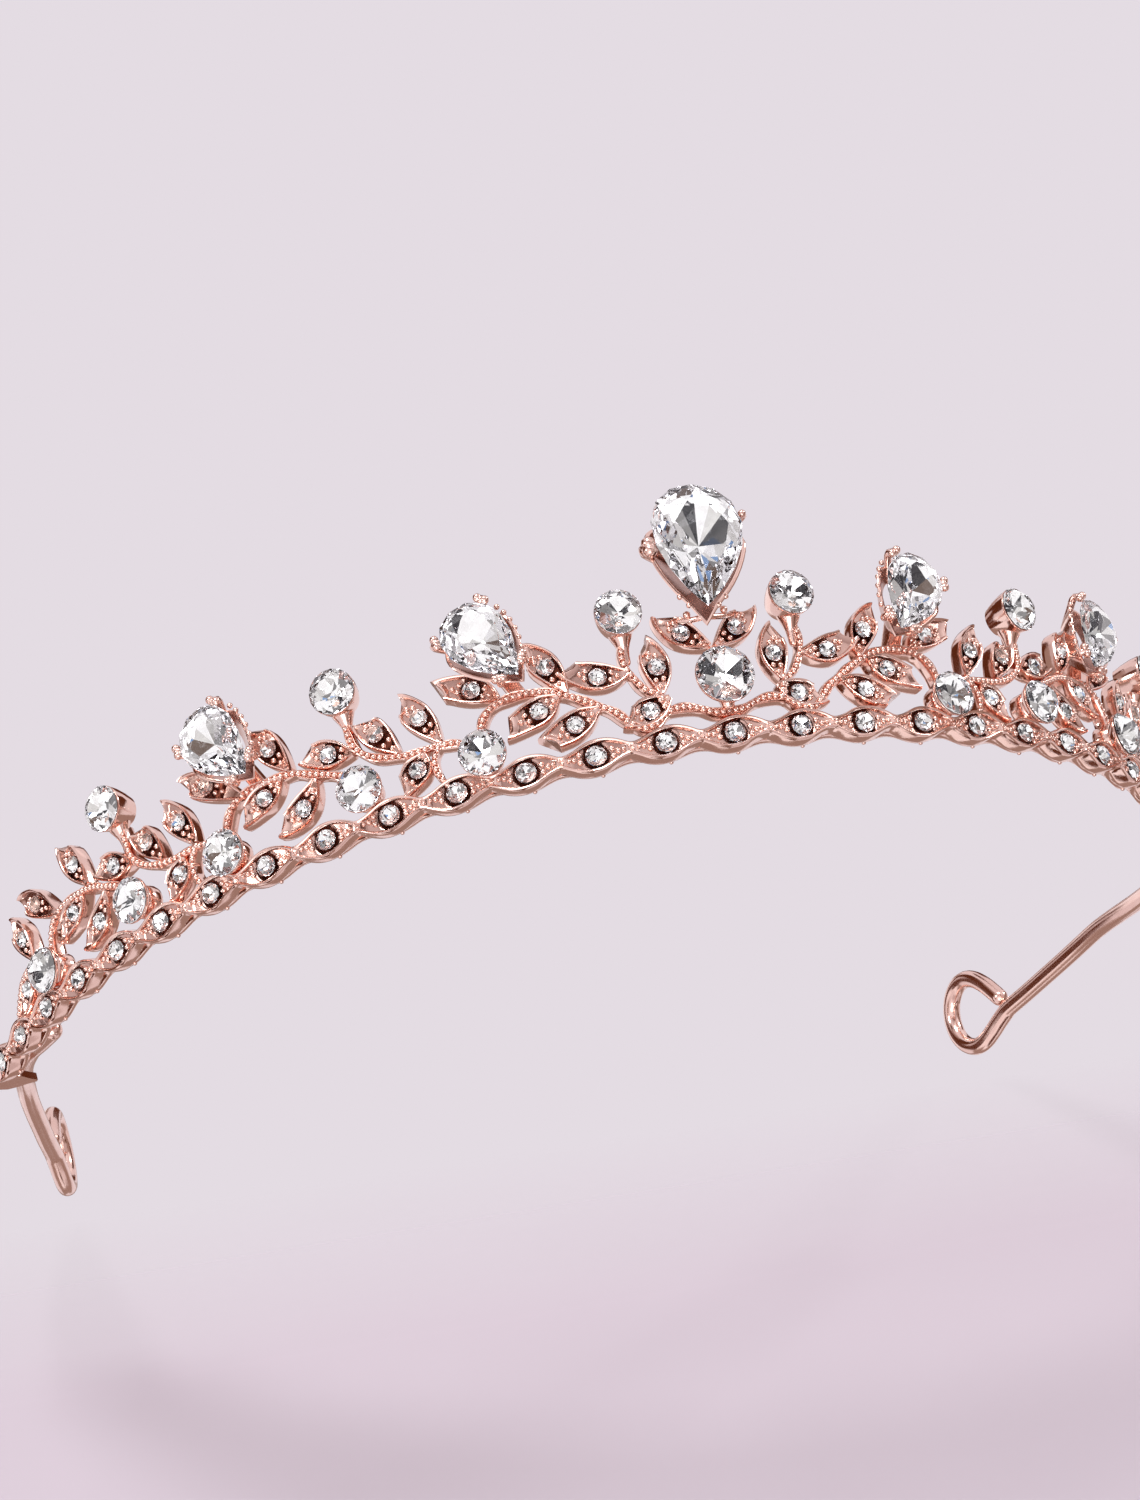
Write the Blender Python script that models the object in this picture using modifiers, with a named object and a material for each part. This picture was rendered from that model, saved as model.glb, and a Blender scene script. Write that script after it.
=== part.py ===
"""A bridal tiara: one bent casting of links, vines and leaves that carries claw-set
pear stones and cup-set round stones, with a round wire soldered along each end and
curled into a hairpin eye.

The casting is designed flat, the way its wax model is, in millimetres: X along the
band from its middle, Z up from the links' centre line, -Y outward.  It is then bent
round an elliptical head line.  The finished model is in metres, +Z up, with the
middle of the tiara facing -Y and the links' lower edge on Z = 0.
"""
import bpy
import bmesh
import math
import numpy as np
from mathutils import Matrix, Vector

MM = 0.001
GAP = 0.3                  # between pieces that touch

# head line: half width, and depth from the middle of the front
HEAD_HALF_WIDTH = 76.9
HEAD_DEPTH = 81.6
LEAN = 0.052               # the decoration leans outward, per millimetre of height

# casting
LINK_PITCH = 7.6
LINKS_PER_SIDE = 14
LINK_HALF_HEIGHT = 1.8
NECK_HALF_HEIGHT = 0.65
LINK_FLAT = 0.8            # half length of a link's flat lower edge
LINK_HALF_THICKNESS = 1.25
TIP_LENGTH = 2.2
TAB_THICKNESS = 1.0         # the end tab turned in under the wire
LEAF_HALF_WIDTH = 1.5
LEAF_BACK = 0.95
LEAF_FRONT = 1.1
VINE_RADIUS = 0.8
BRANCH_RADIUS = 0.74
HOOK_RADIUS = 0.67
STRUT_RADIUS = 1.1
MOTIF = 4 * LINK_PITCH     # the vine repeats every four links
FIRST_LOW = 26.6           # first low stone, where the repeat begins

# round stones and their cups: stone radius, wall thickness
ROUND_RADIUS = 2.15
CUP_WALL = 0.3
BIG_RADIUS = 2.9
STEM_HEIGHT = 14.5
BIG_HEIGHT = 5.35
BIG_SEAT = -0.3            # depth of the counterbore under the big cup

# pear stones: half width and half length
PEAR_LARGE = (5.0, 7.0)
PEAR_SMALL = (3.5, 5.0)
PEAR_TURN = math.radians(32)
CLAW_RADIUS = 0.5
SEAT_RADIUS = 0.45

# side wires and eyes
WIRE_RADIUS = 1.2
WIRE_START = 90.0
WIRE_INSET = LINK_HALF_THICKNESS + GAP + WIRE_RADIUS
WIRE_RISE = 3.7

ROSE_GOLD = (0.80, 0.42, 0.31, 1.0)
CRYSTAL = (0.86, 0.85, 0.90, 1.0)


# ---------------------------------------------------------------- scene set-up

for old in list(bpy.data.objects):
    bpy.data.objects.remove(old, do_unlink=True)

PARTS = bpy.data.collections.new("bridal_tiara")
GUIDES = bpy.data.collections.new("cutters")
for group in (PARTS, GUIDES):
    bpy.context.scene.collection.children.link(group)


def finish_material(name, colour, metallic, roughness):
    """One Principled BSDF material of a piece."""
    material = bpy.data.materials.new(name)
    material.use_nodes = True
    shader = material.node_tree.nodes["Principled BSDF"]
    shader.inputs["Base Color"].default_value = colour
    shader.inputs["Metallic"].default_value = metallic
    shader.inputs["Roughness"].default_value = roughness
    material.diffuse_color = colour
    return material


def metal(name):
    return finish_material(name + "_plating", ROSE_GOLD, 1.0, 0.22)


def crystal(name):
    return finish_material(name + "_crystal", CRYSTAL, 0.0, 0.03)


# ---------------------------------------------------------------- the head line

def head_line_table(samples=4001):
    """Arc length along the half ellipse, against its angle from the front."""
    angle = np.linspace(0.0, math.pi, samples)
    x = HEAD_HALF_WIDTH * np.sin(angle)
    y = -HEAD_DEPTH * np.cos(angle)
    step = np.hypot(np.diff(x), np.diff(y))
    return angle, np.concatenate([[0.0], np.cumsum(step)])


ANGLES, ARC = head_line_table()


def head_point(along):
    """Point on the head line, with its unit tangent and outward normal."""
    angle = float(np.interp(abs(along), ARC, ANGLES)) * (1 if along >= 0 else -1)
    point = Vector((HEAD_HALF_WIDTH * math.sin(angle), -HEAD_DEPTH * math.cos(angle), 0))
    tangent = Vector((HEAD_HALF_WIDTH * math.cos(angle), HEAD_DEPTH * math.sin(angle), 0))
    tangent.normalize()
    return point, tangent, Vector((tangent.y, -tangent.x, 0))


def bent(along, inward, height):
    """Where a point of the flat design lands on the bent tiara."""
    point, _, outward = head_point(along)
    return point + outward * (LEAN * height - inward) + Vector((0, 0, height))


def local_frame(along, height, outward_by, turn=0.0):
    """Placement on the tiara: X along the band, Y up, Z outward; in metres."""
    _, tangent, outward = head_point(along)
    up = (Vector((0, 0, 1)) + outward * LEAN).normalized()
    front = tangent.cross(up)
    place = Matrix((tangent, up, front)).transposed().to_4x4()
    place.translation = (bent(along, 0, height) + front * outward_by) * MM
    return place @ Matrix.Rotation(-turn, 4, "Z")


# ---------------------------------------------------------------- solids

def mesh_object(name, bm, group):
    """A new object from a bmesh, with its faces turned outward."""
    bmesh.ops.recalc_face_normals(bm, faces=bm.faces)
    mesh = bpy.data.meshes.new(name)
    bm.to_mesh(mesh)
    bm.free()
    obj = bpy.data.objects.new(name, mesh)
    group.objects.link(obj)
    return obj


def loft(name, sections, group):
    """A closed solid through sections that have the same number of points."""
    bm = bmesh.new()
    rings = [[bm.verts.new(point) for point in section] for section in sections]
    count = len(rings[0])
    for lower, upper in zip(rings[:-1], rings[1:]):
        for i in range(count):
            j = (i + 1) % count
            bm.faces.new((lower[i], lower[j], upper[j], upper[i]))
    bm.faces.new(rings[0])
    bm.faces.new(rings[-1])
    return mesh_object(name, bm, group)


def tube(name, points, radius, group, cyclic=False, resolution=1):
    """A round bar along points, as a closed mesh."""
    curve = bpy.data.curves.new(name, "CURVE")
    curve.dimensions = "3D"
    curve.bevel_depth = radius
    curve.bevel_resolution = resolution
    curve.use_fill_caps = not cyclic
    spline = curve.splines.new("POLY")
    spline.points.add(len(points) - 1)
    spline.use_cyclic_u = cyclic
    for knot, point in zip(spline.points, points):
        knot.co = (*point, 1.0)
    wire = bpy.data.objects.new(name + "_path", curve)
    group.objects.link(wire)
    graph = bpy.context.evaluated_depsgraph_get()
    mesh = bpy.data.meshes.new_from_object(wire.evaluated_get(graph))
    bm = bmesh.new()
    bm.from_mesh(mesh)
    bmesh.ops.remove_doubles(bm, verts=bm.verts, dist=radius * 0.001)
    bpy.data.objects.remove(wire, do_unlink=True)
    bpy.data.meshes.remove(mesh)
    return mesh_object(name, bm, group)


def disc(name, along, height, radius, inner, outer, group, sides=16):
    """A round pad or cutter in the flat design, its axis pointing outward."""
    bm = bmesh.new()
    bmesh.ops.create_cone(bm, cap_ends=True, segments=sides, radius1=radius,
                          radius2=radius, depth=outer - inner)
    turn = Matrix.Rotation(math.radians(90), 4, "X")
    shift = Matrix.Translation((along, -(inner + outer) / 2, height))
    bmesh.ops.transform(bm, matrix=shift @ turn, verts=bm.verts)
    return mesh_object(name, bm, group)


def combine(body, others, operation):
    """Boolean of body with every object of a list, applied at once."""
    group = bpy.data.collections.new(body.name + "_" + operation.lower())
    for other in others:
        group.objects.link(other)
    cut = body.modifiers.new(operation.lower(), "BOOLEAN")
    cut.operation = operation
    cut.operand_type = "COLLECTION"
    cut.collection = group
    cut.solver = "EXACT"
    bpy.context.view_layer.update()
    graph = bpy.context.evaluated_depsgraph_get()
    mesh = bpy.data.meshes.new_from_object(body.evaluated_get(graph))
    body.modifiers.clear()
    body.data = mesh
    for other in others:
        bpy.data.objects.remove(other, do_unlink=True)
    bpy.data.collections.remove(group)
    return body


def bend(body):
    """Bend a finished flat design round the head line, and turn it to metres."""
    bm = bmesh.new()
    bm.from_mesh(body.data)
    bmesh.ops.triangulate(bm, faces=bm.faces)
    for vert in bm.verts:
        vert.co = bent(vert.co.x, vert.co.y, vert.co.z) * MM
    bm.to_mesh(body.data)
    bm.free()
    return body


# ---------------------------------------------------------------- the casting

def link_half_height(along):
    """Half height of the row of marquise links at one place."""
    off = abs((along + LINK_PITCH / 2) % LINK_PITCH - LINK_PITCH / 2)
    reach = max(off - LINK_FLAT, 0.0) / (LINK_PITCH / 2 - LINK_FLAT)
    return NECK_HALF_HEIGHT + (LINK_HALF_HEIGHT - NECK_HALF_HEIGHT) * (1 - reach ** 1.5)


def band():
    """The row of links, pointed at its two ends."""
    steps = (-3.8, -2.5, -LINK_FLAT, LINK_FLAT, 2.5)
    places = [link * LINK_PITCH + step
              for link in range(-LINKS_PER_SIDE, LINKS_PER_SIDE + 1) for step in steps]
    end = (LINKS_PER_SIDE + 0.5) * LINK_PITCH
    places = [-end - TIP_LENGTH] + places + [end, end + TIP_LENGTH]
    sections = []
    for place in places:
        half = link_half_height(place) if abs(place) <= end + 0.01 else 0.3
        thick = LINK_HALF_THICKNESS
        sections.append([(place, -thick, -half), (place, thick, -half),
                         (place, thick, half), (place, -thick, half)])
    return loft("front_casting", sections, PARTS)


def leaf(base, middle, tip, side):
    """A curved marquise leaf: its centre line bows through the stone's place."""
    start, via, end = (Vector((side * p[0], 0, p[1])) for p in (base, middle, tip))
    bow = via * 2 - (start + end) / 2
    sections = []
    for t, width in ((0.0, 0.2), (0.22, 0.72), (0.5, 1.0), (0.78, 0.66), (1.0, 0.14)):
        centre = start * (1 - t) ** 2 + bow * (2 * t * (1 - t)) + end * t ** 2
        run = (bow - start) * (1 - t) + (end - bow) * t
        across = run.cross(Vector((0, 1, 0))).normalized() * LEAF_HALF_WIDTH * width
        front, back = Vector((0, -LEAF_FRONT, 0)), Vector((0, LEAF_BACK, 0))
        sections.append([centre + across + front, centre + across + back,
                         centre - across + back, centre - across + front])
    return loft("leaf", sections, GUIDES)


# leaves as (base, stone, tip), one side: along the band and up, in millimetres
CENTRE_LEAVES = (
    ((0.3, 10.3), (3.1, 12.2), (5.4, 14.9)),
    ((6.8, 5.6), (6.6, 8.8), (7.5, 11.7)),
    ((6.0, 5.0), (8.35, 3.9), (11.1, 3.5)),
    ((9.7, 8.7), (13.0, 8.9), (16.3, 10.6)),
    ((16.6, 7.9), (18.1, 11.3), (20.1, 13.5)),
    ((17.6, 7.6), (19.9, 6.5), (23.7, 5.3)),
    ((13.7, 5.2), (16.5, 4.0), (19.8, 2.5)),
    ((23.7, 9.1), (26.3, 10.9), (30.0, 12.0)),
)
# the same, measured from the low stone where each repeat begins
FIRST_HALF_LEAVES = (
    ((4.2, 6.2), (5.9, 9.6), (7.7, 11.9)),
    ((8.8, 6.5), (10.9, 9.5), (12.1, 11.4)),
    ((6.2, 5.4), (7.3, 3.9), (9.6, 2.3)),
)
SECOND_HALF_LEAVES = (
    ((13.7, 8.3), (16.5, 9.2), (19.2, 10.2)),
    ((21.2, 9.2), (23.1, 12.6), (24.1, 15.4)),
    ((22.3, 8.7), (24.9, 7.4), (28.0, 6.3)),
    ((18.5, 7.0), (20.7, 4.4), (23.8, 3.3)),
    ((27.4, 8.6), (31.7, 11.8), (34.6, 13.1)),
)
CENTRE_VINE = ((0, 2.5), (1.6, 2.6), (3.2, 3.3), (4.9, 3.7), (6.6, 3.4), (7.9, 2.4),
               (9.5, 2.0), (10.8, 3.0), (12.1, 4.5), (13.5, 5.5), (16.3, 7.3),
               (19.2, 8.6), (22.0, 8.9), (24.6, 8.3), (26.1, 6.7), (26.6, 3.6))
CENTRE_BRANCH = ((6.4, 3.6), (7.0, 5.4), (8.4, 6.5), (9.4, 8.2), (10.0, 10.2), (9.6, 13.0))
STEM_BRANCH = ((0.4, 3.4), (1.2, 4.6), (2.6, 5.5), (5.0, 5.8), (8.2, 5.9), (10.6, 6.5),
               (12.4, 7.5), (13.6, 9.2), (14.0, 13.0))
HOOK = ((4.2, 5.9), (5.2, 4.6), (5.3, 2.9), (4.6, 1.2))
REPEAT_VINE = ((13.8, 4.0), (15.0, 5.7), (16.7, 6.8), (19.0, 7.8), (21.2, 8.7),
               (24.0, 9.0), (27.0, 8.9), (29.2, 7.9), (30.3, 6.0), (30.4, 3.6))
TAIL_VINE = ((0.4, 3.4), (1.2, 4.6), (2.6, 5.5), (5.0, 5.8), (7.6, 5.2), (9.6, 3.6),
             (11.4, 1.0))
STEM_ALONG = (9.5, FIRST_LOW + 14.0, FIRST_LOW + MOTIF + 14.6)
LOW_ALONG = (FIRST_LOW, FIRST_LOW + 13.5, FIRST_LOW + MOTIF, FIRST_LOW + MOTIF + 13.5,
             FIRST_LOW + 2 * MOTIF)
LOW_HEIGHT = (2.9, 3.4, 2.9, 3.4, 2.9)
PEAR_PLACES = ((23.7, 14.6), (FIRST_LOW + 27.6, 14.3))
PEAR_STRUTS = (((21.4, 8.8), (23.2, 13.0)),
               ((FIRST_LOW + 25.2, 9.1), (FIRST_LOW + 27.0, 12.8)))


def end_tab(side):
    """The triangular tab that the last link turns inward under the wire."""
    bottom = -LINK_HALF_HEIGHT
    sections = []
    for inward, half in ((0.6, 2.6), (1.6, 2.2), (3.4, 1.1), (4.9, 0.2)):
        middle = side * (LINKS_PER_SIDE * LINK_PITCH + 2.4)
        sections.append([(middle - half, inward, bottom), (middle + half, inward, bottom),
                         (middle + half, inward, bottom + TAB_THICKNESS),
                         (middle - half, inward, bottom + TAB_THICKNESS)])
    return loft("tab", sections, GUIDES)


def moved(points, along):
    return tuple((p[0] + along, p[1]) for p in points)


def run_of_bar(points, side, radius):
    """A vine, branch or strut of the flat design."""
    path = [(side * s, 0.0, z) for s, z in points]
    return tube("vine", path, radius, GUIDES)


def leaves_of(side):
    shapes = list(CENTRE_LEAVES)
    for repeat in range(2):
        along = FIRST_LOW + repeat * MOTIF
        shapes += [moved(shape, along) for shape in FIRST_HALF_LEAVES + SECOND_HALF_LEAVES]
    end = FIRST_LOW + 2 * MOTIF
    shapes += [moved(FIRST_HALF_LEAVES[0], end), moved(FIRST_HALF_LEAVES[2], end)]
    return [leaf(*shape, side) for shape in shapes]


def bars_of(side):
    bars = [run_of_bar(CENTRE_BRANCH, side, BRANCH_RADIUS)]
    for repeat in range(2):
        along = FIRST_LOW + repeat * MOTIF
        for points, radius in ((STEM_BRANCH, BRANCH_RADIUS), (HOOK, HOOK_RADIUS),
                               (REPEAT_VINE, VINE_RADIUS)):
            bars.append(run_of_bar(moved(points, along), side, radius))
    bars.append(run_of_bar(moved(TAIL_VINE, FIRST_LOW + 2 * MOTIF), side, VINE_RADIUS))
    bars += [run_of_bar(strut, side, STRUT_RADIUS) for strut in PEAR_STRUTS]
    for along, height in zip(LOW_ALONG, LOW_HEIGHT):
        bars.append(disc("pad", side * along, height, 1.9, -1.0, LINK_HALF_THICKNESS - 0.05,
                         GUIDES, 12))
    return bars


def seat_cutters(piece):
    """Cutters for the cups that a piece reaches, one gap wider than each cup."""
    wide = ROUND_RADIUS + CUP_WALL + 2 * GAP
    spots = [(side * along, STEM_HEIGHT, wide, -6) for side in (-1, 1) for along in STEM_ALONG]
    spots.append((0, BIG_HEIGHT, BIG_RADIUS + CUP_WALL + 2 * GAP, BIG_SEAT))
    low = [min(v.co[i] for v in piece.data.vertices) for i in range(3)]
    high = [max(v.co[i] for v in piece.data.vertices) for i in range(3)]
    near = []
    for along, height, radius, back in spots:
        beside = low[0] - radius < along < high[0] + radius
        level = low[2] - radius < height < high[2] + radius
        if beside and level:
            near.append(disc("seat", along, height, radius, back, 6, GUIDES, 20))
    return near


def front_casting():
    """Links, vines, leaves and struts, seated for the cups, joined flat, then bent."""
    body = band()
    mirrored = [(-s, z) for s, z in reversed(CENTRE_VINE[1:])]
    pieces = [run_of_bar(mirrored + list(CENTRE_VINE), 1, VINE_RADIUS)]
    pieces.append(run_of_bar(((0, 2.0), (0, 10.0), (0, 18.2)), 1, STRUT_RADIUS))
    for side in (-1, 1):
        pieces += leaves_of(side) + bars_of(side) + [end_tab(side)]
    for piece in [body] + pieces:
        cutters = seat_cutters(piece)
        if cutters:
            combine(piece, cutters, "DIFFERENCE")
    combine(body, pieces, "UNION")
    body.data.materials.clear()
    body.data.materials.append(metal("front_casting"))
    return bend(body)


# ---------------------------------------------------------------- side wires

def wire_plan():
    """The wire's bends seen from above, right side: behind the casting, then free."""
    behind = [bent(WIRE_START + 4 * step, WIRE_INSET, 0).xy for step in range(5)]
    free = ((72.5, -11.5), (72.2, -5.8), (71.5, 0.0), (70.8, 5.0), (69.9, 10.0),
            (68.9, 15.0), (67.9, 20.0), (66.8, 25.0), (65.7, 30.0))
    return behind + [Vector(point) for point in free]


def eye_path():
    """The eye's bends in its own upright plane: along the wire, and up."""
    return ((-4.0, 3.6), (-1.6, 3.1), (0.8, 2.5), (3.2, 2.1), (5.6, 2.4), (7.8, 3.7),
            (9.2, 5.8), (9.4, 8.3), (8.3, 10.5), (6.2, 11.8), (3.8, 11.9), (1.5, 10.9),
            (-0.6, 9.1), (-2.0, 7.5), (-3.2, 6.0))


def side_wire(name, side):
    """A round wire from behind the casting to the eye that it curls into."""
    plan = wire_plan()
    reach = [0.0]
    for before, after in zip(plan[:-1], plan[1:]):
        reach.append(reach[-1] + (after - before).length)
    leaves_casting, settled = 4.5, 37.5
    path = []
    for point, run in zip(plan[:-1], reach):
        rise = min(max((run - leaves_casting) / (settled - leaves_casting), 0.0), 1.0)
        path.append(Vector((point.x, point.y, WIRE_RISE * rise * rise * (3 - 2 * rise))))
    heading = (plan[-1] - plan[-2]).normalized()
    for along, height in eye_path():
        spot = plan[-1] + heading * along
        path.append(Vector((spot.x, spot.y, height)))
    path = [Vector((side * p.x, p.y, p.z)) * MM for p in path]
    wire = tube(name, path, WIRE_RADIUS * MM, PARTS, resolution=2)
    wire.data.materials.append(metal(name))
    return wire


# ---------------------------------------------------------------- round stones

def turned(name, profile, sides, place, material):
    """A turned piece: its profile swept round local Z by a Screw modifier."""
    bm = bmesh.new()
    verts = [bm.verts.new((r * MM, 0, z * MM)) for r, z in profile]
    for start, end in zip(verts[:-1], verts[1:]):
        bm.edges.new((start, end))
    mesh = bpy.data.meshes.new(name)
    bm.to_mesh(mesh)
    bm.free()
    obj = bpy.data.objects.new(name, mesh)
    PARTS.objects.link(obj)
    sweep = obj.modifiers.new("turn", "SCREW")
    sweep.steps = sides
    sweep.render_steps = sides
    sweep.use_merge_vertices = True
    sweep.merge_threshold = 0.00001
    obj.matrix_world = place
    mesh.materials.append(material)
    return obj


def cup(name, radius, back, front, floor, place):
    """A cup with a flat floor: radius is its inside."""
    outer = radius + CUP_WALL
    profile = ((0, floor), (radius, floor), (radius, front), (outer, front),
               (outer, back), (0, back))
    return turned(name, profile, 16, place, metal(name))


def round_stone(name, radius, girdle, crown, pavilion, place):
    profile = ((0, girdle + crown), (radius * 0.58, girdle + crown), (radius, girdle + 0.1),
               (radius, girdle - 0.1), (0, girdle - pavilion))
    return turned(name, profile, 12, place, crystal(name))


def round_settings():
    inner = ROUND_RADIUS + GAP
    place = local_frame(0, BIG_HEIGHT, 0)
    cup("big_round_cup", BIG_RADIUS + GAP, BIG_SEAT + GAP, 1.9, 0.4, place)
    round_stone("big_round_stone", BIG_RADIUS, 2.0, 1.2, 1.3, place)
    for side, word in ((-1, "left"), (1, "right")):
        for index, along in enumerate(STEM_ALONG, 1):
            place = local_frame(side * along, STEM_HEIGHT, 0)
            cup(f"stem_cup_{word}_{index}", inner, -1.1, 2.8, 0.9, place)
            round_stone(f"stem_stone_{word}_{index}", ROUND_RADIUS, 2.85, 0.9, 1.5, place)
        for index, (along, height) in enumerate(zip(LOW_ALONG, LOW_HEIGHT), 1):
            place = local_frame(side * along, height, 0)
            back = LINK_HALF_THICKNESS + GAP
            cup(f"low_cup_{word}_{index}", inner, back, 3.2, back + 0.4, place)
            round_stone(f"low_stone_{word}_{index}", ROUND_RADIUS, 3.3, 0.9, 1.0, place)


# ---------------------------------------------------------------- pear stones

def pear_outline(size, scale=1.0, grow=0.0, count=16):
    """A pear outline in the XY plane with its point down, grown by a margin."""
    half_width, half_length = size
    widest = 0.7698        # peak of sin(a) sin(a / 2)
    points = []
    for i in range(count):
        angle = 2 * math.pi * i / count
        x = half_width * math.sin(angle) * abs(math.sin(angle / 2)) / widest
        y = -half_length * math.cos(angle)
        length = math.hypot(x, y)
        points.append(Vector((x, y)) * (scale + grow / length))
    return points


def pear_stone(name, size, girdle, crown, pavilion, place):
    levels = ((0.08, -pavilion), (0.62, -pavilion * 0.5), (1.0, -0.12), (1.0, 0.12),
              (0.6, crown))
    sections = []
    for scale, depth in levels:
        sections.append([(p.x * MM, p.y * MM, (girdle + depth) * MM)
                         for p in pear_outline(size, scale)])
    stone = loft(name, sections, PARTS)
    stone.matrix_world = place
    stone.data.materials.append(crystal(name))
    return stone


def claw_path(size, index, seat_scale, seat, girdle):
    """A claw from the seat ring, up past the girdle and over the stone's edge."""
    foot = pear_outline(size, seat_scale)[index]
    beside = pear_outline(size, 1.0, GAP + CLAW_RADIUS)[index]
    over = pear_outline(size, 0.93)[index]
    rise = girdle + 0.75
    return [(*foot, seat), (*beside, girdle - 0.5), (*beside, rise), (*over, rise + 0.65)]


def pear_setting(name, size, seat_scale, seat, girdle, claws, place):
    """An open claw basket: a pear-shaped seat ring and the claws that rise from it."""
    ring = [(*p, seat) for p in pear_outline(size, seat_scale)]
    basket = tube(name, ring, SEAT_RADIUS, PARTS, cyclic=True)
    bars = [tube("claw", claw_path(size, index, seat_scale, seat, girdle), CLAW_RADIUS, GUIDES)
            for index in claws]
    combine(basket, bars, "UNION")
    basket.data.transform(Matrix.Scale(MM, 4))
    basket.matrix_world = place
    basket.data.materials.clear()
    basket.data.materials.append(metal(name))
    return basket


def pear_settings():
    seat = STRUT_RADIUS + GAP + SEAT_RADIUS
    place = local_frame(0, 20.2, 0)
    pear_setting("pear_setting_centre", PEAR_LARGE, 0.55, seat, 5.2, (2, 5, 8, 11, 14), place)
    pear_stone("pear_stone_centre", PEAR_LARGE, 5.2, 1.6, 2.6, place)
    for side, word in ((-1, "left"), (1, "right")):
        for index, (along, height) in enumerate(PEAR_PLACES, 1):
            place = local_frame(side * along, height, 0, side * PEAR_TURN)
            pear_setting(f"pear_setting_{word}_{index}", PEAR_SMALL, 0.7, seat, 4.2,
                         (2, 6, 10, 14), place)
            pear_stone(f"pear_stone_{word}_{index}", PEAR_SMALL, 4.2, 1.2, 1.7, place)


# ---------------------------------------------------------------- the whole

def stand_on_origin():
    """Move every piece so that the whole stands centred on the origin."""
    bpy.context.view_layer.update()
    graph = bpy.context.evaluated_depsgraph_get()
    corners = []
    for piece in PARTS.objects:
        shape = piece.evaluated_get(graph)
        corners += [shape.matrix_world @ vert.co for vert in shape.data.vertices]
    low = [min(c[i] for c in corners) for i in range(3)]
    high = [max(c[i] for c in corners) for i in range(3)]
    shift = Vector((-(low[0] + high[0]) / 2, -(low[1] + high[1]) / 2, -low[2]))
    for piece in PARTS.objects:
        piece.matrix_world = Matrix.Translation(shift) @ piece.matrix_world


front_casting()
side_wire("side_wire_left", -1)
side_wire("side_wire_right", 1)
round_settings()
pear_settings()
stand_on_origin()
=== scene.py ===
# %% [markdown]
# # Bridal tiara in rose gold and crystal
# A band of marquise links carries a vine of leaves, round chatons and five pear
# stones, and ends in two thin wires that are bent into open eyes. The solid model
# gives the frame. Each visible piece here is made again with its real detail, from
# the same head line and the same tables of places, so nothing has to be fitted.

import math
from collections import namedtuple

import bmesh
import bpy
import numpy as np
from mathutils import Matrix, Vector


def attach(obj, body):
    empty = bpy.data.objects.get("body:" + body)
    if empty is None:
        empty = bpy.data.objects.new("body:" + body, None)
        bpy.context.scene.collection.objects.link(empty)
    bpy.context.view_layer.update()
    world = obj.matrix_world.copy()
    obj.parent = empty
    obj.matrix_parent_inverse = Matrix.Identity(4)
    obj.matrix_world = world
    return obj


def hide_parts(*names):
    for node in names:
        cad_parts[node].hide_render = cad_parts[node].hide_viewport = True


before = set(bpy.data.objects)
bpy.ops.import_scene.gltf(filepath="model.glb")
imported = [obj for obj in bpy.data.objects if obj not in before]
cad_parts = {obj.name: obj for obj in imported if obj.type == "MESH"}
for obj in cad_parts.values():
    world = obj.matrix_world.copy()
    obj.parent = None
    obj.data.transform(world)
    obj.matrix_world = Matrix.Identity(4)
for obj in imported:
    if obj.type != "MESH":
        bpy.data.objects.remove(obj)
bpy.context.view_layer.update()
MM = 0.001

# %% [markdown]
# ## The head line
# A tiara is cast flat and then bent round a mandrel. The band follows half an
# ellipse, so a place on it is a distance along the ellipse from the middle and a
# height above the links. The front leans out a little as it rises. A table of arc
# lengths turns a distance into an angle, which is simpler than solving for it.

# %% The head line
HEAD_HALF_WIDTH, HEAD_DEPTH = 76.9, 81.6  # mm
LEAN = 0.052  # outwards for each mm of height
HEAD_CENTRE = Vector((0.0, 24.8157, 1.8))  # mm, the ellipse's centre in the frame
ANGLES = np.linspace(0.0, math.pi, 4001)
STEPS = np.hypot(np.diff(HEAD_HALF_WIDTH * np.sin(ANGLES)), np.diff(HEAD_DEPTH * np.cos(ANGLES)))
ARCS = np.concatenate([[0.0], np.cumsum(STEPS)])


def head_frame(along):
    """The point on the head line, its heading and the way out, at a distance in mm."""
    angle = math.copysign(float(np.interp(abs(along), ARCS, ANGLES)), along)
    spot = Vector((HEAD_HALF_WIDTH * math.sin(angle), -HEAD_DEPTH * math.cos(angle), 0.0))
    heading = Vector(
        (HEAD_HALF_WIDTH * math.cos(angle), HEAD_DEPTH * math.sin(angle), 0.0)
    ).normalized()
    return spot, heading, Vector((heading.y, -heading.x, 0.0))


def place(along, height, out=0.0):
    """A point of the bent front in metres, from its place in mm in the flat front."""
    spot, heading, outward = head_frame(along)
    point = spot + outward * (LEAN * height + out) + Vector((0.0, 0.0, height))
    return (point + HEAD_CENTRE) * MM


def seat(along, height, out=0.0, turn=0.0):
    """The matrix from a stone's own mm, x along and z outwards, to the frame."""
    spot, heading, outward = head_frame(along)
    up = (Vector((0.0, 0.0, 1.0)) + outward * LEAN).normalized()
    front = heading.cross(up)
    matrix = Matrix((heading, up, front)).transposed().to_4x4()
    matrix.translation = place(along, height) + front * out * MM
    return matrix @ Matrix.Rotation(-turn, 4, "Z") @ Matrix.Scale(MM, 4)


print("half of the band:", round(float(ARCS[-1]) / 2, 1), "mm")

# %% [markdown]
# ## Colours and nodes
# Colours are written as sRGB hex and turned to linear light by one function. One
# small function adds a node with its settings and links, for materials and for
# Geometry Nodes alike.


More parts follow.
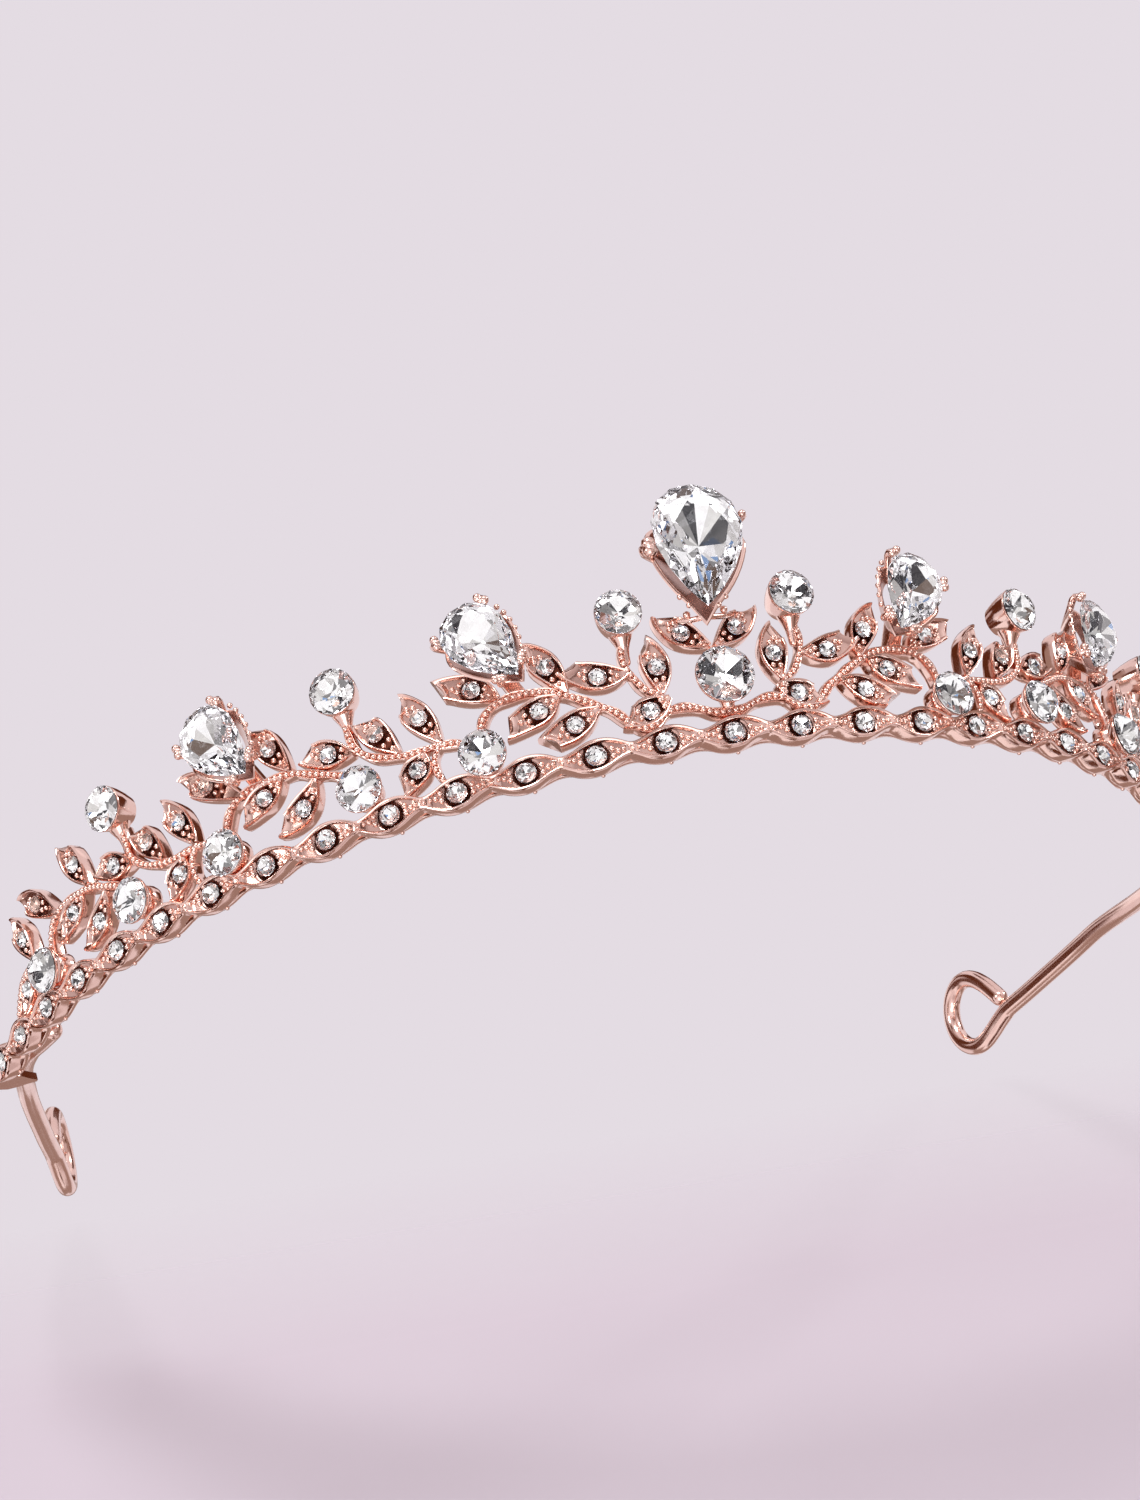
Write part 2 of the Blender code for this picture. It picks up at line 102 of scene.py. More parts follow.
# %% Helpers for colours and nodes
def linear(code):
    """An sRGB hex colour as linear RGBA."""
    values = [int(code[k : k + 2], 16) / 255.0 for k in (1, 3, 5)]
    return (*[v / 12.92 if v <= 0.04045 else ((v + 0.055) / 1.055) ** 2.4 for v in values], 1.0)


def add(tree, kind, feeds=None, **settings):
    """Adds a node. feeds gives its inputs by name or number: a socket or a value."""
    node = tree.nodes.new(kind)
    for name, value in settings.items():
        setattr(node, name, value)
    for name, value in (feeds or {}).items():
        socket = node.inputs[name]
        if isinstance(value, bpy.types.NodeSocket):
            tree.links.new(value, socket)
        else:
            socket.default_value = value
    return node


def new_finish(name):
    """An empty node material and its tree."""
    finish = bpy.data.materials.new(name)
    finish.use_nodes = True
    finish.node_tree.nodes.clear()
    return finish, finish.node_tree


# %% [markdown]
# ## Rose gold plating
# The casting is a zinc or brass alloy that is tumbled, polished and plated with a
# thin copper-rich gold. The eye gets a warm pink metal with soft bright edges and a
# faint unevenness from the casting under the plating. The sunk floors, darkest in
# the seats round the small stones, and the insides of cups and baskets get a painted
# shade of dark brown and a rougher metal. A point attribute that the shape code
# paints says how much painted shade each corner gets, so the painted shade follows
# the shape.


# %% Material: rose gold plating, polished
CLOUD_SCALE, GRAIN_SCALE = 420.0, 2600.0  # patches of polish 2.4 mm wide, skin of 0.4 mm
# The third colour is a painted shade: a dark brown that the shape code's marks mix in where hollows
# lie.
ROSE_GOLD, ROSE_GOLD_PATCH, PAINTED_SHADE_BROWN = "#F3D6CB", "#EAC4B6", "#70301A"


def rose_gold(name, low, high, ripple):
    """Plated metal whose roughness runs from low to high, with a casting's ripple."""
    finish, tree = new_finish(name)
    where = add(tree, "ShaderNodeTexCoord").outputs["Object"]
    cloud = add(tree, "ShaderNodeTexNoise", {"Vector": where, "Scale": CLOUD_SCALE, "Detail": 3.0})
    grain = add(tree, "ShaderNodeTexNoise", {"Vector": where, "Scale": GRAIN_SCALE, "Detail": 2.0})
    recess = add(tree, "ShaderNodeAttribute", attribute_name="recess").outputs["Fac"]
    warmth = add(
        tree,
        "ShaderNodeMix",
        {0: cloud.outputs["Fac"], 6: linear(ROSE_GOLD), 7: linear(ROSE_GOLD_PATCH)},
        data_type="RGBA",
    ).outputs[2]
    # Painted shade: the colour goes to dark brown as far as the shape code marks a corner.
    painted_shade_colour = add(
        tree, "ShaderNodeMix", {0: recess, 6: warmth, 7: linear(PAINTED_SHADE_BROWN)}, data_type="RGBA"
    )
    rough = add(
        tree,
        "ShaderNodeMapRange",
        {
            "Value": cloud.outputs["Fac"],
            "From Min": 0.3,
            "From Max": 0.7,
            "To Min": low,
            "To Max": high,
        },
    )
    rougher = add(
        tree,
        "ShaderNodeMath",
        {0: recess, 1: 0.25, 2: rough.outputs["Result"]},
        operation="MULTIPLY_ADD",
    )
    bump = add(
        tree,
        "ShaderNodeBump",
        {"Height": grain.outputs["Fac"], "Strength": ripple, "Distance": 0.03 * MM},
    )
    shader = add(
        tree,
        "ShaderNodeBsdfPrincipled",
        {
            "Base Color": painted_shade_colour.outputs[2],
            "Metallic": 1.0,
            "Roughness": rougher.outputs[0],
            "Normal": bump.outputs["Normal"],
        },
    )
    add(tree, "ShaderNodeOutputMaterial", {"Surface": shader.outputs[0]})
    return finish


POLISHED = rose_gold("rose_gold_plating_polished", 0.08, 0.18, 0.3)
DRAWN_WIRE = rose_gold("rose_gold_plating_on_drawn_wire", 0.14, 0.2, 0.12)

# %% [markdown]
# ## Crystal and its foil
# The stones are moulded and polished lead crystal with a silver foil burnt onto the
# back. The glass bends the light, the foil sends it back, and each facet shows
# another part of the room, white, grey or nearly black. So each stone is a closed
# gem: its crown is clear glass, and its pavilion is a mirror seen from inside.

# %% Materials: crystal and silver foil
CRYSTAL, tree = new_finish("lead_crystal_polished")
where = add(tree, "ShaderNodeTexCoord").outputs["Object"]
haze = add(tree, "ShaderNodeTexNoise", {"Vector": where, "Scale": 500.0})
tint = add(
    tree,
    "ShaderNodeMix",
    {0: haze.outputs["Fac"], 6: linear("#FFFFFF"), 7: linear("#F3F5FA")},
    data_type="RGBA",
)
wipe = add(
    tree,
    "ShaderNodeMapRange",
    {"Value": haze.outputs["Fac"], "From Min": 0.5, "From Max": 0.8, "To Max": 0.012},
)
shader = add(
    tree,
    "ShaderNodeBsdfPrincipled",
    {
        "Base Color": tint.outputs[2],
        "Roughness": wipe.outputs["Result"],
        "IOR": 1.56,
        "Transmission Weight": 1.0,
    },
)
add(tree, "ShaderNodeOutputMaterial", {"Surface": shader.outputs[0]})

FOIL, tree = new_finish("silver_foil_backing")
where = add(tree, "ShaderNodeTexCoord").outputs["Object"]
patch = add(tree, "ShaderNodeTexNoise", {"Vector": where, "Scale": 900.0})
tone = add(
    tree,
    "ShaderNodeMix",
    {0: patch.outputs["Fac"], 6: linear("#F4F4F6"), 7: linear("#D9D6D8")},
    data_type="RGBA",
)
dull = add(
    tree,
    "ShaderNodeMapRange",
    {"Value": patch.outputs["Fac"], "To Min": 0.0, "To Max": 0.03},
)
shader = add(
    tree,
    "ShaderNodeBsdfPrincipled",
    {"Base Color": tone.outputs[2], "Metallic": 1.0, "Roughness": dull.outputs["Result"]},
)
add(tree, "ShaderNodeOutputMaterial", {"Surface": shader.outputs[0]})
print("finishes:", [m.name for m in (POLISHED, DRAWN_WIRE, CRYSTAL, FOIL)])

# %% [markdown]
# ## From corners to a piece
# Most of the front is mesh code: a list of corners and faces. One function turns
# them into an object, makes the faces point outwards, smooths all but the sharp
# edges and stores how much painted shade each corner gets. A second one hangs the
# piece on the tiara and hides the nodes of the solid model that it stands for.


# %% Helpers for meshes
def new_piece(name, corners, faces, finishes, recess=None, foil=None, sharp=50.0):
    """A mesh object from corners in metres. foil numbers the faces of the second finish."""
    mesh = bpy.data.meshes.new(name)
    mesh.from_pydata([tuple(c) for c in corners], [], faces)
    for finish in finishes:
        mesh.materials.append(finish)
    if foil is not None:
        mesh.polygons.foreach_set("material_index", foil)
    shade = mesh.attributes.new("recess", "FLOAT", "POINT")
    shade.data.foreach_set("value", recess or [0.0] * len(corners))
    work = bmesh.new()
    work.from_mesh(mesh)
    bmesh.ops.recalc_face_normals(work, faces=work.faces)
    work.to_mesh(mesh)
    work.free()
    mesh.shade_smooth()
    mesh.set_sharp_from_angle(angle=math.radians(sharp))
    piece = bpy.data.objects.new(name, mesh)
    bpy.context.scene.collection.objects.link(piece)
    return piece


def fit_to_frame(piece, slot, *nodes):
    """The piece rides with the tiara, and those nodes of the solid model are hidden."""
    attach(piece, "root")
    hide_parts(*nodes)


def rings_to_faces(rings, size, closed=False):
    """Quads between rings of corners, with a lid on each end where it isn't closed."""
    faces = []
    for k in range(rings if closed else rings - 1):
        a, b = k * size, ((k + 1) % rings) * size
        faces += [(a + i, a + (i + 1) % size, b + (i + 1) % size, b + i) for i in range(size)]
    if not closed:
        faces.append(tuple(reversed(range(size))))
        faces.append(tuple(range((rings - 1) * size, rings * size)))
    return faces


def smooth_path(points, step):
    """Points about a step apart on a smooth line through the given ones."""
    pts = [Vector(p) for p in points]
    pts = [pts[0] * 2 - pts[1]] + pts + [pts[-1] * 2 - pts[-2]]
    fine = []
    for k in range(1, len(pts) - 2):
        p0, p1, p2, p3 = pts[k - 1 : k + 3]
        for i in range(12):
            t = i / 12.0
            fine.append(
                0.5
                * (
                    2 * p1
                    + (p2 - p0) * t
                    + (2 * p0 - 5 * p1 + 4 * p2 - p3) * t * t
                    + (3 * p1 - p0 - 3 * p2 + p3) * t**3
                )
            )
    fine.append(pts[-2])
    runs = np.concatenate([[0.0], np.cumsum([(b - a).length for a, b in zip(fine, fine[1:])])])
    count = max(2, int(round(runs[-1] / step)) + 1)
    wanted = np.linspace(0.0, runs[-1], count)
    return [
        Vector([float(np.interp(w, runs, [p[axis] for p in fine])) for axis in range(len(pts[0]))])
        for w in wanted
    ]


class Heap:
    """Corners and faces of many parts that make one piece."""

    def __init__(self):
        self.corners, self.faces, self.recess, self.foil = [], [], [], []

    def add(self, corners, faces, recess=None, foil=None):
        start = len(self.corners)
        self.corners += corners
        self.faces += [tuple(i + start for i in f) for f in faces]
        self.recess += recess or [0.0] * len(corners)
        self.foil += foil or [0] * len(faces)

    def piece(self, name, finishes, sharp=50.0):
        foil = self.foil if any(self.foil) else None
        return new_piece(name, self.corners, self.faces, finishes, self.recess, foil, sharp)


# %% [markdown]
# ## The rimmed blade
# Links, leaves and vine stems are one family: a strip with a rounded rim on each
# side and a lower floor between, which can carry painted shade. The section is a
# closed ring of points, and it is swept along a line in the flat front, then bent
# with the head line. The floor rises to the rims at both ends of a leaf, so the rim
# runs round its tip.


# %% The rimmed section and its sweep
def section(half, depth, front, back, rim):
    """Points (across, out) in mm round a strip, and for each how far it lies in the floor, which sinks
    it into a seat and sets its painted shade.
    """
    wall = min(rim, 0.6 * half)
    inner = half - wall
    floor = front - 0.14 - depth
    # One half from the middle of the back, round the side and over the rim to the floor.
    side = [
        (0.0, -back + 0.14, 0.0),
        (0.55 * half, -back + 0.05, 0.0),
        (half - 0.16, -back, 0.0),
        (half - 0.03, -back + 0.2, 0.0),
        (half, -back + 0.5, 0.0),
        (half, front - 0.42, 0.0),
        (half - 0.05, front - 0.16, 0.0),
        (half - 0.36 * wall, front, 0.0),
        (half - 0.66 * wall, front - 0.02, 0.0),
        (inner + 0.02, front - 0.16, 0.1),
        (inner, front - 0.14 - 0.6 * depth, 0.6),
        (max(0.0, inner - 0.06), floor, 1.0),
        (0.75 * inner, floor, 1.0),
        (0.4 * inner, floor, 1.0),
        (0.0, floor, 1.0),
    ]
    return side + [(-v, z, s) for v, z, s in reversed(side[1:-1])]


def blade(path, halves, depths, floor_shade, front, back, rim, put, slant=0.0, hole=None, notch=0.0):
    """Sweeps the section along a flat path. put turns (x, y, out) in mm to metres.

    slant cuts the far end askew, so that one corner of a leaf stands out, and notch
    hollows it between its corners. hole gives the radius and the depth of a round seat
    for a stone in the middle of the path.
    """
    corners, recess = [], []
    # A seat round a stone gets the darkest painted shade.
    seat_edge, dark = 0.25, 0.95  # mm over which a seat sinks, and how dark it is
    steps = [(b - a).length for a, b in zip(path, path[1:])]
    middle = sum(steps) / 2
    radius, extra = hole or (0.0, 0.0)
    for k, spot in enumerate(path):
        way = (path[min(k + 1, len(path) - 1)] - path[max(k - 1, 0)]).normalized()
        across = Vector((-way.y, way.x))
        tip_share = ease((k / (len(path) - 1) - 0.7) / 0.3)
        across += way * slant * tip_share
        for v, out, shade in section(halves[k], depths[k], front, back, rim):
            flat = spot + across * v + way * notch * (v / halves[k]) ** 2 * tip_share
            seat_share = ease((radius - math.hypot(sum(steps[:k]) - middle, v)) / seat_edge)
            corners.append(put(flat.x, flat.y, out - shade * extra * seat_share))
            # Painted shade: floor points are painted darker, most of all in the seat round the stone.
            recess.append(shade * (floor_shade[k] + (dark - floor_shade[k]) * seat_share))
    return corners, rings_to_faces(len(path), len(corners) // len(path)), recess


def profile(table, t):
    """A smooth curve of fourth degree through the table's five points, at t."""
    return float(np.polyval(np.polyfit([a for a, b in table], [b for a, b in table], 4), t))


def ease(t):
    """0 to 1 with level ends."""
    t = min(1.0, max(0.0, t))
    return t * t * (3 - 2 * t)


# %% [markdown]
# ## The band: 29 links
# Each link is a marquise frame round one rhinestone. A casting has them joined tip
# to tip. They repeat at an even pitch along the head line, which is what Geometry
# Nodes do best: one link mesh, a curve that is resampled to 29 points, and an
# instance on each point, turned to the curve.

# %% One link
LINK_PITCH, LINK_COUNT = 7.6, 29
LINK_LENGTH = LINK_PITCH + 0.5
LINK_HALF, LINK_NECK, LINK_RIM = 1.85, 0.72, 0.44
LINK_FRONT, LINK_BACK, LINK_SINK = 1.25, 0.85, 0.34
LINK_SEAT = (1.5, 0.8)  # radius and depth of the hole for its rhinestone
STEPS_PER_LINK = 30
link_path, link_halves, link_depths, link_floor_shade = [], [], [], []
for k in range(STEPS_PER_LINK + 1):
    t = k / STEPS_PER_LINK
    x = (t - 0.5) * LINK_LENGTH
    swell = max(0.0, math.cos(math.pi * min(1.0, abs(x) / 3.7) / 2)) ** 1.15
    link_path.append(Vector((x, 0.22 * math.sin(2 * math.pi * x / LINK_PITCH))))
    link_halves.append(LINK_NECK + (LINK_HALF - LINK_NECK) * swell)
    open_part = ease((3.55 - abs(x)) / 0.8)
    link_depths.append(open_part * LINK_SINK)
    # The floor's painted shade grows with its depth.
    link_floor_shade.append(open_part * LINK_SINK)
link_parts = Heap()
link_parts.add(
    *blade(
        link_path,
        link_halves,
        link_depths,
        link_floor_shade,
        LINK_FRONT,
        LINK_BACK,
        LINK_RIM,
        lambda x, y, out: Vector((x, y, out)) * MM,
        hole=LINK_SEAT,
    )
)
one_link = link_parts.piece("one_link", [POLISHED])
print("one link:", len(one_link.data.polygons), "faces")


# %% [markdown]
# ## Growing a piece from a tree
# Geometry Nodes need something to work on: a curve or loose points. Three helpers make
# the curve, start a tree with named inputs, and run it once. The result is read off
# the evaluated object into a plain mesh, so that nothing depends on the tree later.
# Most trees end in the same way, with real faces, smooth shading unless it is turned off, and their
# material.


# %% A curve, a tree and what grows from them
def lines(name, runs, closed=False):
    """A curve datablock with one straight-pointed spline for each run of points."""
    curve = bpy.data.curves.new(name, "CURVE")
    curve.dimensions = "3D"
    for run in runs:
        spline = curve.splines.new("POLY")
        spline.points.add(len(run) - 1)
        for point, spot in zip(spline.points, run):
            point.co = (*spot, 1.0)
        spline.use_cyclic_u = closed
    return curve


def new_tree(name, inputs):
    """A Geometry Nodes tree with named inputs, and its input and output nodes."""
    tree = bpy.data.node_groups.new(name, "GeometryNodeTree")
    tree.interface.new_socket("Geometry", in_out="INPUT", socket_type="NodeSocketGeometry")
    for label, kind in inputs.items():
        tree.interface.new_socket(label, in_out="INPUT", socket_type="NodeSocket" + kind)
    tree.interface.new_socket("Geometry", in_out="OUTPUT", socket_type="NodeSocketGeometry")
    return tree, add(tree, "NodeGroupInput").outputs


def end_tree(tree, geometry, finish, smooth=True):
    """Makes the instances real faces, gives them their finish and closes the tree."""
    made = add(tree, "GeometryNodeRealizeInstances", {"Geometry": geometry})
    if smooth:
        made = add(tree, "GeometryNodeSetShadeSmooth", {"Geometry": made.outputs[0]})
    made = add(tree, "GeometryNodeSetMaterial", {"Geometry": made.outputs[0], "Material": finish})
    add(tree, "NodeGroupOutput", {"Geometry": made.outputs[0]})


def grow(name, source, tree, **values):
    """Runs a tree on a mesh or curve and keeps its result as a plain mesh object."""
    maker = bpy.data.objects.new(name + "_maker", source)
    bpy.context.scene.collection.objects.link(maker)
    modifier = maker.modifiers.new("grow", "NODES")
    modifier.node_group = tree
    for item in tree.interface.items_tree:
        if item.in_out == "INPUT" and item.name.replace(" ", "_").lower() in values:
            modifier[item.identifier] = values[item.name.replace(" ", "_").lower()]
    graph = bpy.context.evaluated_depsgraph_get()
    mesh = bpy.data.meshes.new_from_object(maker.evaluated_get(graph))
    maker.modifiers.remove(modifier)
    bpy.data.objects.remove(maker)
    mesh.name = name
    piece = bpy.data.objects.new(name, mesh)
    bpy.context.scene.collection.objects.link(piece)
    print(name + ":", len(mesh.polygons), "faces")
    return piece


# %% [markdown]
# ## Repeating the link
# The tree resamples the head line to 29 points. Each link's x axis follows the curve
# and its y axis points up. The end links lean out a little where the band is bent
# round the temples, in proportion to their distance from the middle.

# %% The tree that repeats the link
link_tree, given = new_tree(
    "links_on_head_line",
    {"Link": "Object", "Count": "Int", "Splay": "Float", "Finish": "Material"},
)
spots = add(
    link_tree, "GeometryNodeResampleCurve", {"Curve": given["Geometry"], "Count": given["Count"]}
)
shape = add(link_tree, "GeometryNodeObjectInfo", {"Object": given["Link"]})
heading = add(link_tree, "GeometryNodeInputTangent")
turned = add(
    link_tree,
    "FunctionNodeAxesToRotation",
    {"Primary Axis": heading.outputs[0], "Secondary Axis": (0.0, 0.0, 1.0)},
    primary_axis="X",
    secondary_axis="Y",
)
along = add(link_tree, "GeometryNodeSplineParameter").outputs["Factor"]
from_middle = add(link_tree, "ShaderNodeMath", {0: along, 1: 0.5}, operation="SUBTRACT")
from_middle = add(link_tree, "ShaderNodeMath", {0: from_middle.outputs[0]}, operation="ABSOLUTE")
lean_out = add(
    link_tree,
    "ShaderNodeMath",
    {0: from_middle.outputs[0], 1: given["Splay"]},
    operation="MULTIPLY",
)
splay = add(
    link_tree,
    "FunctionNodeAxisAngleToRotation",
    {"Axis": (1.0, 0.0, 0.0), "Angle": lean_out.outputs[0]},
)
splayed = add(
    link_tree,
    "FunctionNodeRotateRotation",
    {"Rotation": turned.outputs[0], "Rotate By": splay.outputs[0]},
    rotation_space="LOCAL",
)
placed = add(
    link_tree,
    "GeometryNodeInstanceOnPoints",
    {
        "Points": spots.outputs[0],
        "Instance": shape.outputs["Geometry"],
        "Rotation": splayed.outputs[0],
    },
)
end_tree(link_tree, placed.outputs[0], given["Finish"], smooth=False)

half_band = LINK_PITCH * (LINK_COUNT - 1) / 2
HEAD_POINTS = 1065  # about 0.2 mm apart
head_run = [place(s, 0.0) for s in np.linspace(-half_band, half_band, HEAD_POINTS)]
SPLAY = math.radians(14)  # how far the end links lean out
band = grow(
    "band_of_links",
    lines("head_line", [head_run]),
    link_tree,
    link=one_link,
    count=LINK_COUNT,
    splay=2 * SPLAY,
    finish=POLISHED,
)
bpy.data.objects.remove(one_link)
fit_to_frame(band, "rose_gold_plating", "front_casting")

# %% [markdown]
# ## The rail behind the links
# Behind the links runs one low rail that ties them together. It swells a little
# behind each link and carries a small nub under it, where the sprue was cut off.

# %% The rail behind the links
RAIL_FRONT, RAIL_BACK, RAIL_RIM = -0.5, 1.55, 0.3
RAIL_NECK, RAIL_SWELL = 0.8, 0.72  # half heights between the links and added at a link
RAIL_PAST, RAIL_POINTS = 2.5, 520
rail_reach = half_band + RAIL_PAST
rail_path = [Vector((s, 0.0)) for s in np.linspace(-rail_reach, rail_reach, RAIL_POINTS)]
rail_halves = [
    RAIL_NECK + RAIL_SWELL * math.cos(math.pi * spot.x / LINK_PITCH) ** 2 for spot in rail_path
]
level = [0.0] * len(rail_path)
rail_parts = Heap()
rail_parts.add(*blade(rail_path, rail_halves, level, level, RAIL_FRONT, RAIL_BACK, RAIL_RIM, place))
rail = rail_parts.piece("rail_behind_links", [POLISHED])
fit_to_frame(rail, "rose_gold_plating", "front_casting")
print("rail:", len(rail.data.polygons), "faces")

# %% [markdown]
# ## Leaves
# 52 leaves grow from the vine, each a comma-shaped frame round a small rhinestone.
# No two neighbours have quite the same bend, so a table gives each one its base,
# its stone and its tip, and a curve through the three is swept with the same rimmed
# section. The sprays repeat every 30.4 mm, four link pitches, on both sides.

# %% Tables of the leaves
MOTIF, FIRST_LOW = 30.4, 26.6  # a spray's length, and where the first one starts
CENTRE_LEAVES = (
    ((0.3, 10.3), (3.1, 12.3), (4.8, 14.5)),
    ((6.8, 5.6), (6.6, 8.8), (7.5, 11.7)),
    ((6.0, 5.0), (8.35, 3.9), (11.1, 3.5)),
    ((9.7, 8.7), (13.0, 8.9), (16.3, 10.6)),
    ((16.6, 7.9), (18.1, 11.3), (20.1, 13.5)),
    ((17.6, 7.6), (19.9, 6.5), (23.7, 5.3)),
    ((13.7, 5.2), (16.5, 4.0), (19.8, 2.5)),
    ((23.7, 9.1), (26.3, 10.9), (30.0, 12.0)),
)
FIRST_HALF_LEAVES = (
    ((4.2, 6.2), (5.9, 9.6), (7.7, 11.9)),
    ((8.8, 6.5), (10.9, 9.5), (12.1, 11.4)),
    ((6.2, 5.4), (7.3, 3.9), (9.6, 2.3)),
)
SECOND_HALF_LEAVES = (
    ((13.7, 8.3), (16.5, 9.2), (19.2, 10.2)),
    ((21.2, 9.2), (23.1, 12.6), (24.1, 15.4)),
    ((22.3, 8.7), (24.9, 7.4), (28.0, 6.3)),
    ((18.5, 7.0), (20.7, 4.4), (23.8, 3.3)),
    ((27.4, 8.6), (31.7, 11.8), (34.6, 13.1)),
)


def leaves_of(side):
    """(base, stone, tip) of every leaf on one side, in the flat front in mm."""
    spots = list(CENTRE_LEAVES)
    for repeat in range(2):
        start = FIRST_LOW + MOTIF * repeat
        for leaf in FIRST_HALF_LEAVES + SECOND_HALF_LEAVES:
            spots.append(tuple((start + x, y) for x, y in leaf))
    start = FIRST_LOW + 2 * MOTIF
    for leaf in (FIRST_HALF_LEAVES[0], FIRST_HALF_LEAVES[2]):
        spots.append(tuple((start + x, y) for x, y in leaf))
    return [tuple(Vector((side * x, y)) for x, y in leaf) for leaf in spots]


# %% The leaf sweep
LEAF_HALF, LEAF_FRONT, LEAF_BACK, LEAF_RIM, LEAF_SINK = 1.66, 1.1, 0.8, 0.4, 0.34
LEAF_WIDTHS = ((0.0, 0.2), (0.24, 0.76), (0.5, 1.0), (0.78, 0.93), (1.0, 0.72))
LEAF_STEPS, LEAF_TRIM = 24, 0.75
LEAF_SLANT, LEAF_NOTCH = 0.55, 0.6  # how askew its tip is cut, and how hollow
LEAF_SEAT = (1.34, 0.62)  # radius and depth of the hole for its rhinestone
GRANULE_SUNK = 0.36  # mm below the rim
LEAF_GRANULES = ((1.42, 0.42, 0.33), (1.42, -0.42, 0.33), (2.05, 0.05, 0.3))
leaf_parts = Heap()
leaf_stones, granules = [], []


def bowed(base, bow, tip, t):
    """The point at t of the simple curve from base to tip that bow pulls aside."""
    return base * (1 - t) ** 2 + bow * 2 * t * (1 - t) + tip * t * t


for side in (-1, 1):
    for base, stone, tip in leaves_of(side):
        tip = tip + (stone - tip).normalized() * LEAF_TRIM
        bow = stone * 2 - (base + tip) / 2
        shares = [k / LEAF_STEPS for k in range(LEAF_STEPS + 1)]
        path = [bowed(base, bow, tip, t) for t in shares]
        length = sum((b - a).length for a, b in zip(path, path[1:]))
        halves = [LEAF_HALF * profile(LEAF_WIDTHS, t) for t in shares]
        opening = [ease(t / 0.16) * ease((1 - t - 0.03) / 0.07) for t in shares]
        # The floor's depth is given twice: as its depth and as its painted shade.
        leaf_parts.add(
            *blade(
                path,
                halves,
                [o * LEAF_SINK for o in opening],
                [o * LEAF_SINK for o in opening],
                LEAF_FRONT,
                LEAF_BACK,
                LEAF_RIM,
                place,
                LEAF_SLANT if (bow - base).cross(tip - base) < 0 else -LEAF_SLANT,
                LEAF_SEAT,
                LEAF_NOTCH,
            )
        )
        leaf_stones.append(stone)
        way = (tip - base).normalized()
        across = Vector((-way.y, way.x))
        for end in (-1, 1):
            for reach, aside, size in LEAF_GRANULES:
                t = 0.5 + end * reach / length
                if 0.1 < t < 0.93:
                    spot = bowed(base, bow, tip, t) + across * aside
                    granules.append((place(spot.x, spot.y, LEAF_FRONT - GRANULE_SUNK), size))
leaves = leaf_parts.piece("leaves", [POLISHED])
fit_to_frame(leaves, "rose_gold_plating", "front_casting")
print("leaves:", len(leaf_stones), "faces:", len(leaves.data.polygons))

# %% [markdown]
# ## The vine and its stems
# The vine waves along above the links, branches to the stems of the high stones and
# drops to the low ones. On the real piece it is a thin strip with a row of milgrain,
# tiny cast beads, along its front. The strip is the same rimmed blade, shallow, and
# the beads come later, resampled along the same lines at an even spacing.

# %% Tables of the vine
CENTRE_VINE = (
    (0, 2.5), (1.6, 2.6), (3.2, 3.3), (4.9, 3.7), (6.6, 3.4), (7.9, 2.4), (9.5, 2.0),
    (10.8, 3.0), (12.1, 4.5), (13.5, 5.5), (16.3, 7.3), (19.2, 8.6), (22.0, 8.9),
    (24.6, 8.3), (26.1, 6.7), (26.6, 3.6),
)
CENTRE_BRANCH = ((6.4, 3.6), (7.0, 5.4), (8.4, 6.5), (9.4, 8.2), (10.0, 10.2), (9.6, 12.7))
STEM_BRANCH = (
    (0.4, 3.4), (1.2, 4.6), (2.6, 5.5), (5.0, 5.8), (8.2, 5.9), (10.6, 6.5),
    (12.4, 7.5), (13.6, 9.2), (14.0, 12.7),
)
HOOK = ((4.2, 5.9), (5.2, 4.6), (5.3, 2.9), (4.6, 1.2))
REPEAT_VINE = (
    (13.8, 4.0), (15.0, 5.7), (16.7, 6.8), (19.0, 7.8), (21.2, 8.7), (24.0, 9.0),
    (27.0, 8.9), (29.2, 7.9), (30.3, 6.0), (30.4, 3.6),
)
TAIL_VINE = ((0.4, 3.4), (1.2, 4.6), (2.6, 5.5), (5.0, 5.8), (7.6, 5.2), (9.6, 3.6), (11.4, 1.0))


def vines_of(side):
    """(points, half width) of every strip of the vine on one side."""
    found = [(CENTRE_VINE, 0.0, 0.64), (CENTRE_BRANCH, 0.0, 0.52)]
    for repeat in range(2):
        start = FIRST_LOW + MOTIF * repeat
        found += [(STEM_BRANCH, start, 0.56), (HOOK, start, 0.46), (REPEAT_VINE, start, 0.64)]
    found.append((TAIL_VINE, FIRST_LOW + 2 * MOTIF, 0.58))
    return [([(side * (start + x), y) for x, y in table], half) for table, start, half in found]


# %% The vine sweep
VINE_STEP, VINE_RIM = 0.45, 0.3
vine_parts = Heap()
bead_runs = []
for side in (-1, 1):
    for number, (points, half) in enumerate(vines_of(side)):
        path = smooth_path(points, VINE_STEP)
        count = len(path)
        # Each strip is 0.01 mm thicker than the last, so no two faces coincide.
        front, back = 0.82 + 0.01 * number, 0.72 + 0.01 * number
        # The vine's shallow floor gets a light painted shade.
        vine_parts.add(
            *blade(
                path,
                [half * (0.86 + 0.14 * math.sin(k * 0.7 + number)) for k in range(count)],
                [0.1] * count,
                [0.25] * count,
                front,
                back,
                VINE_RIM,
                place,
            )
        )
        bead_runs.append([place(p.x, p.y, front - 0.08) for p in path])

# %% [markdown]
# ## Struts
# A plain strut stands behind each pear setting and behind the big round stone. They
# are straight blades with no floor, cast in one with the vine.

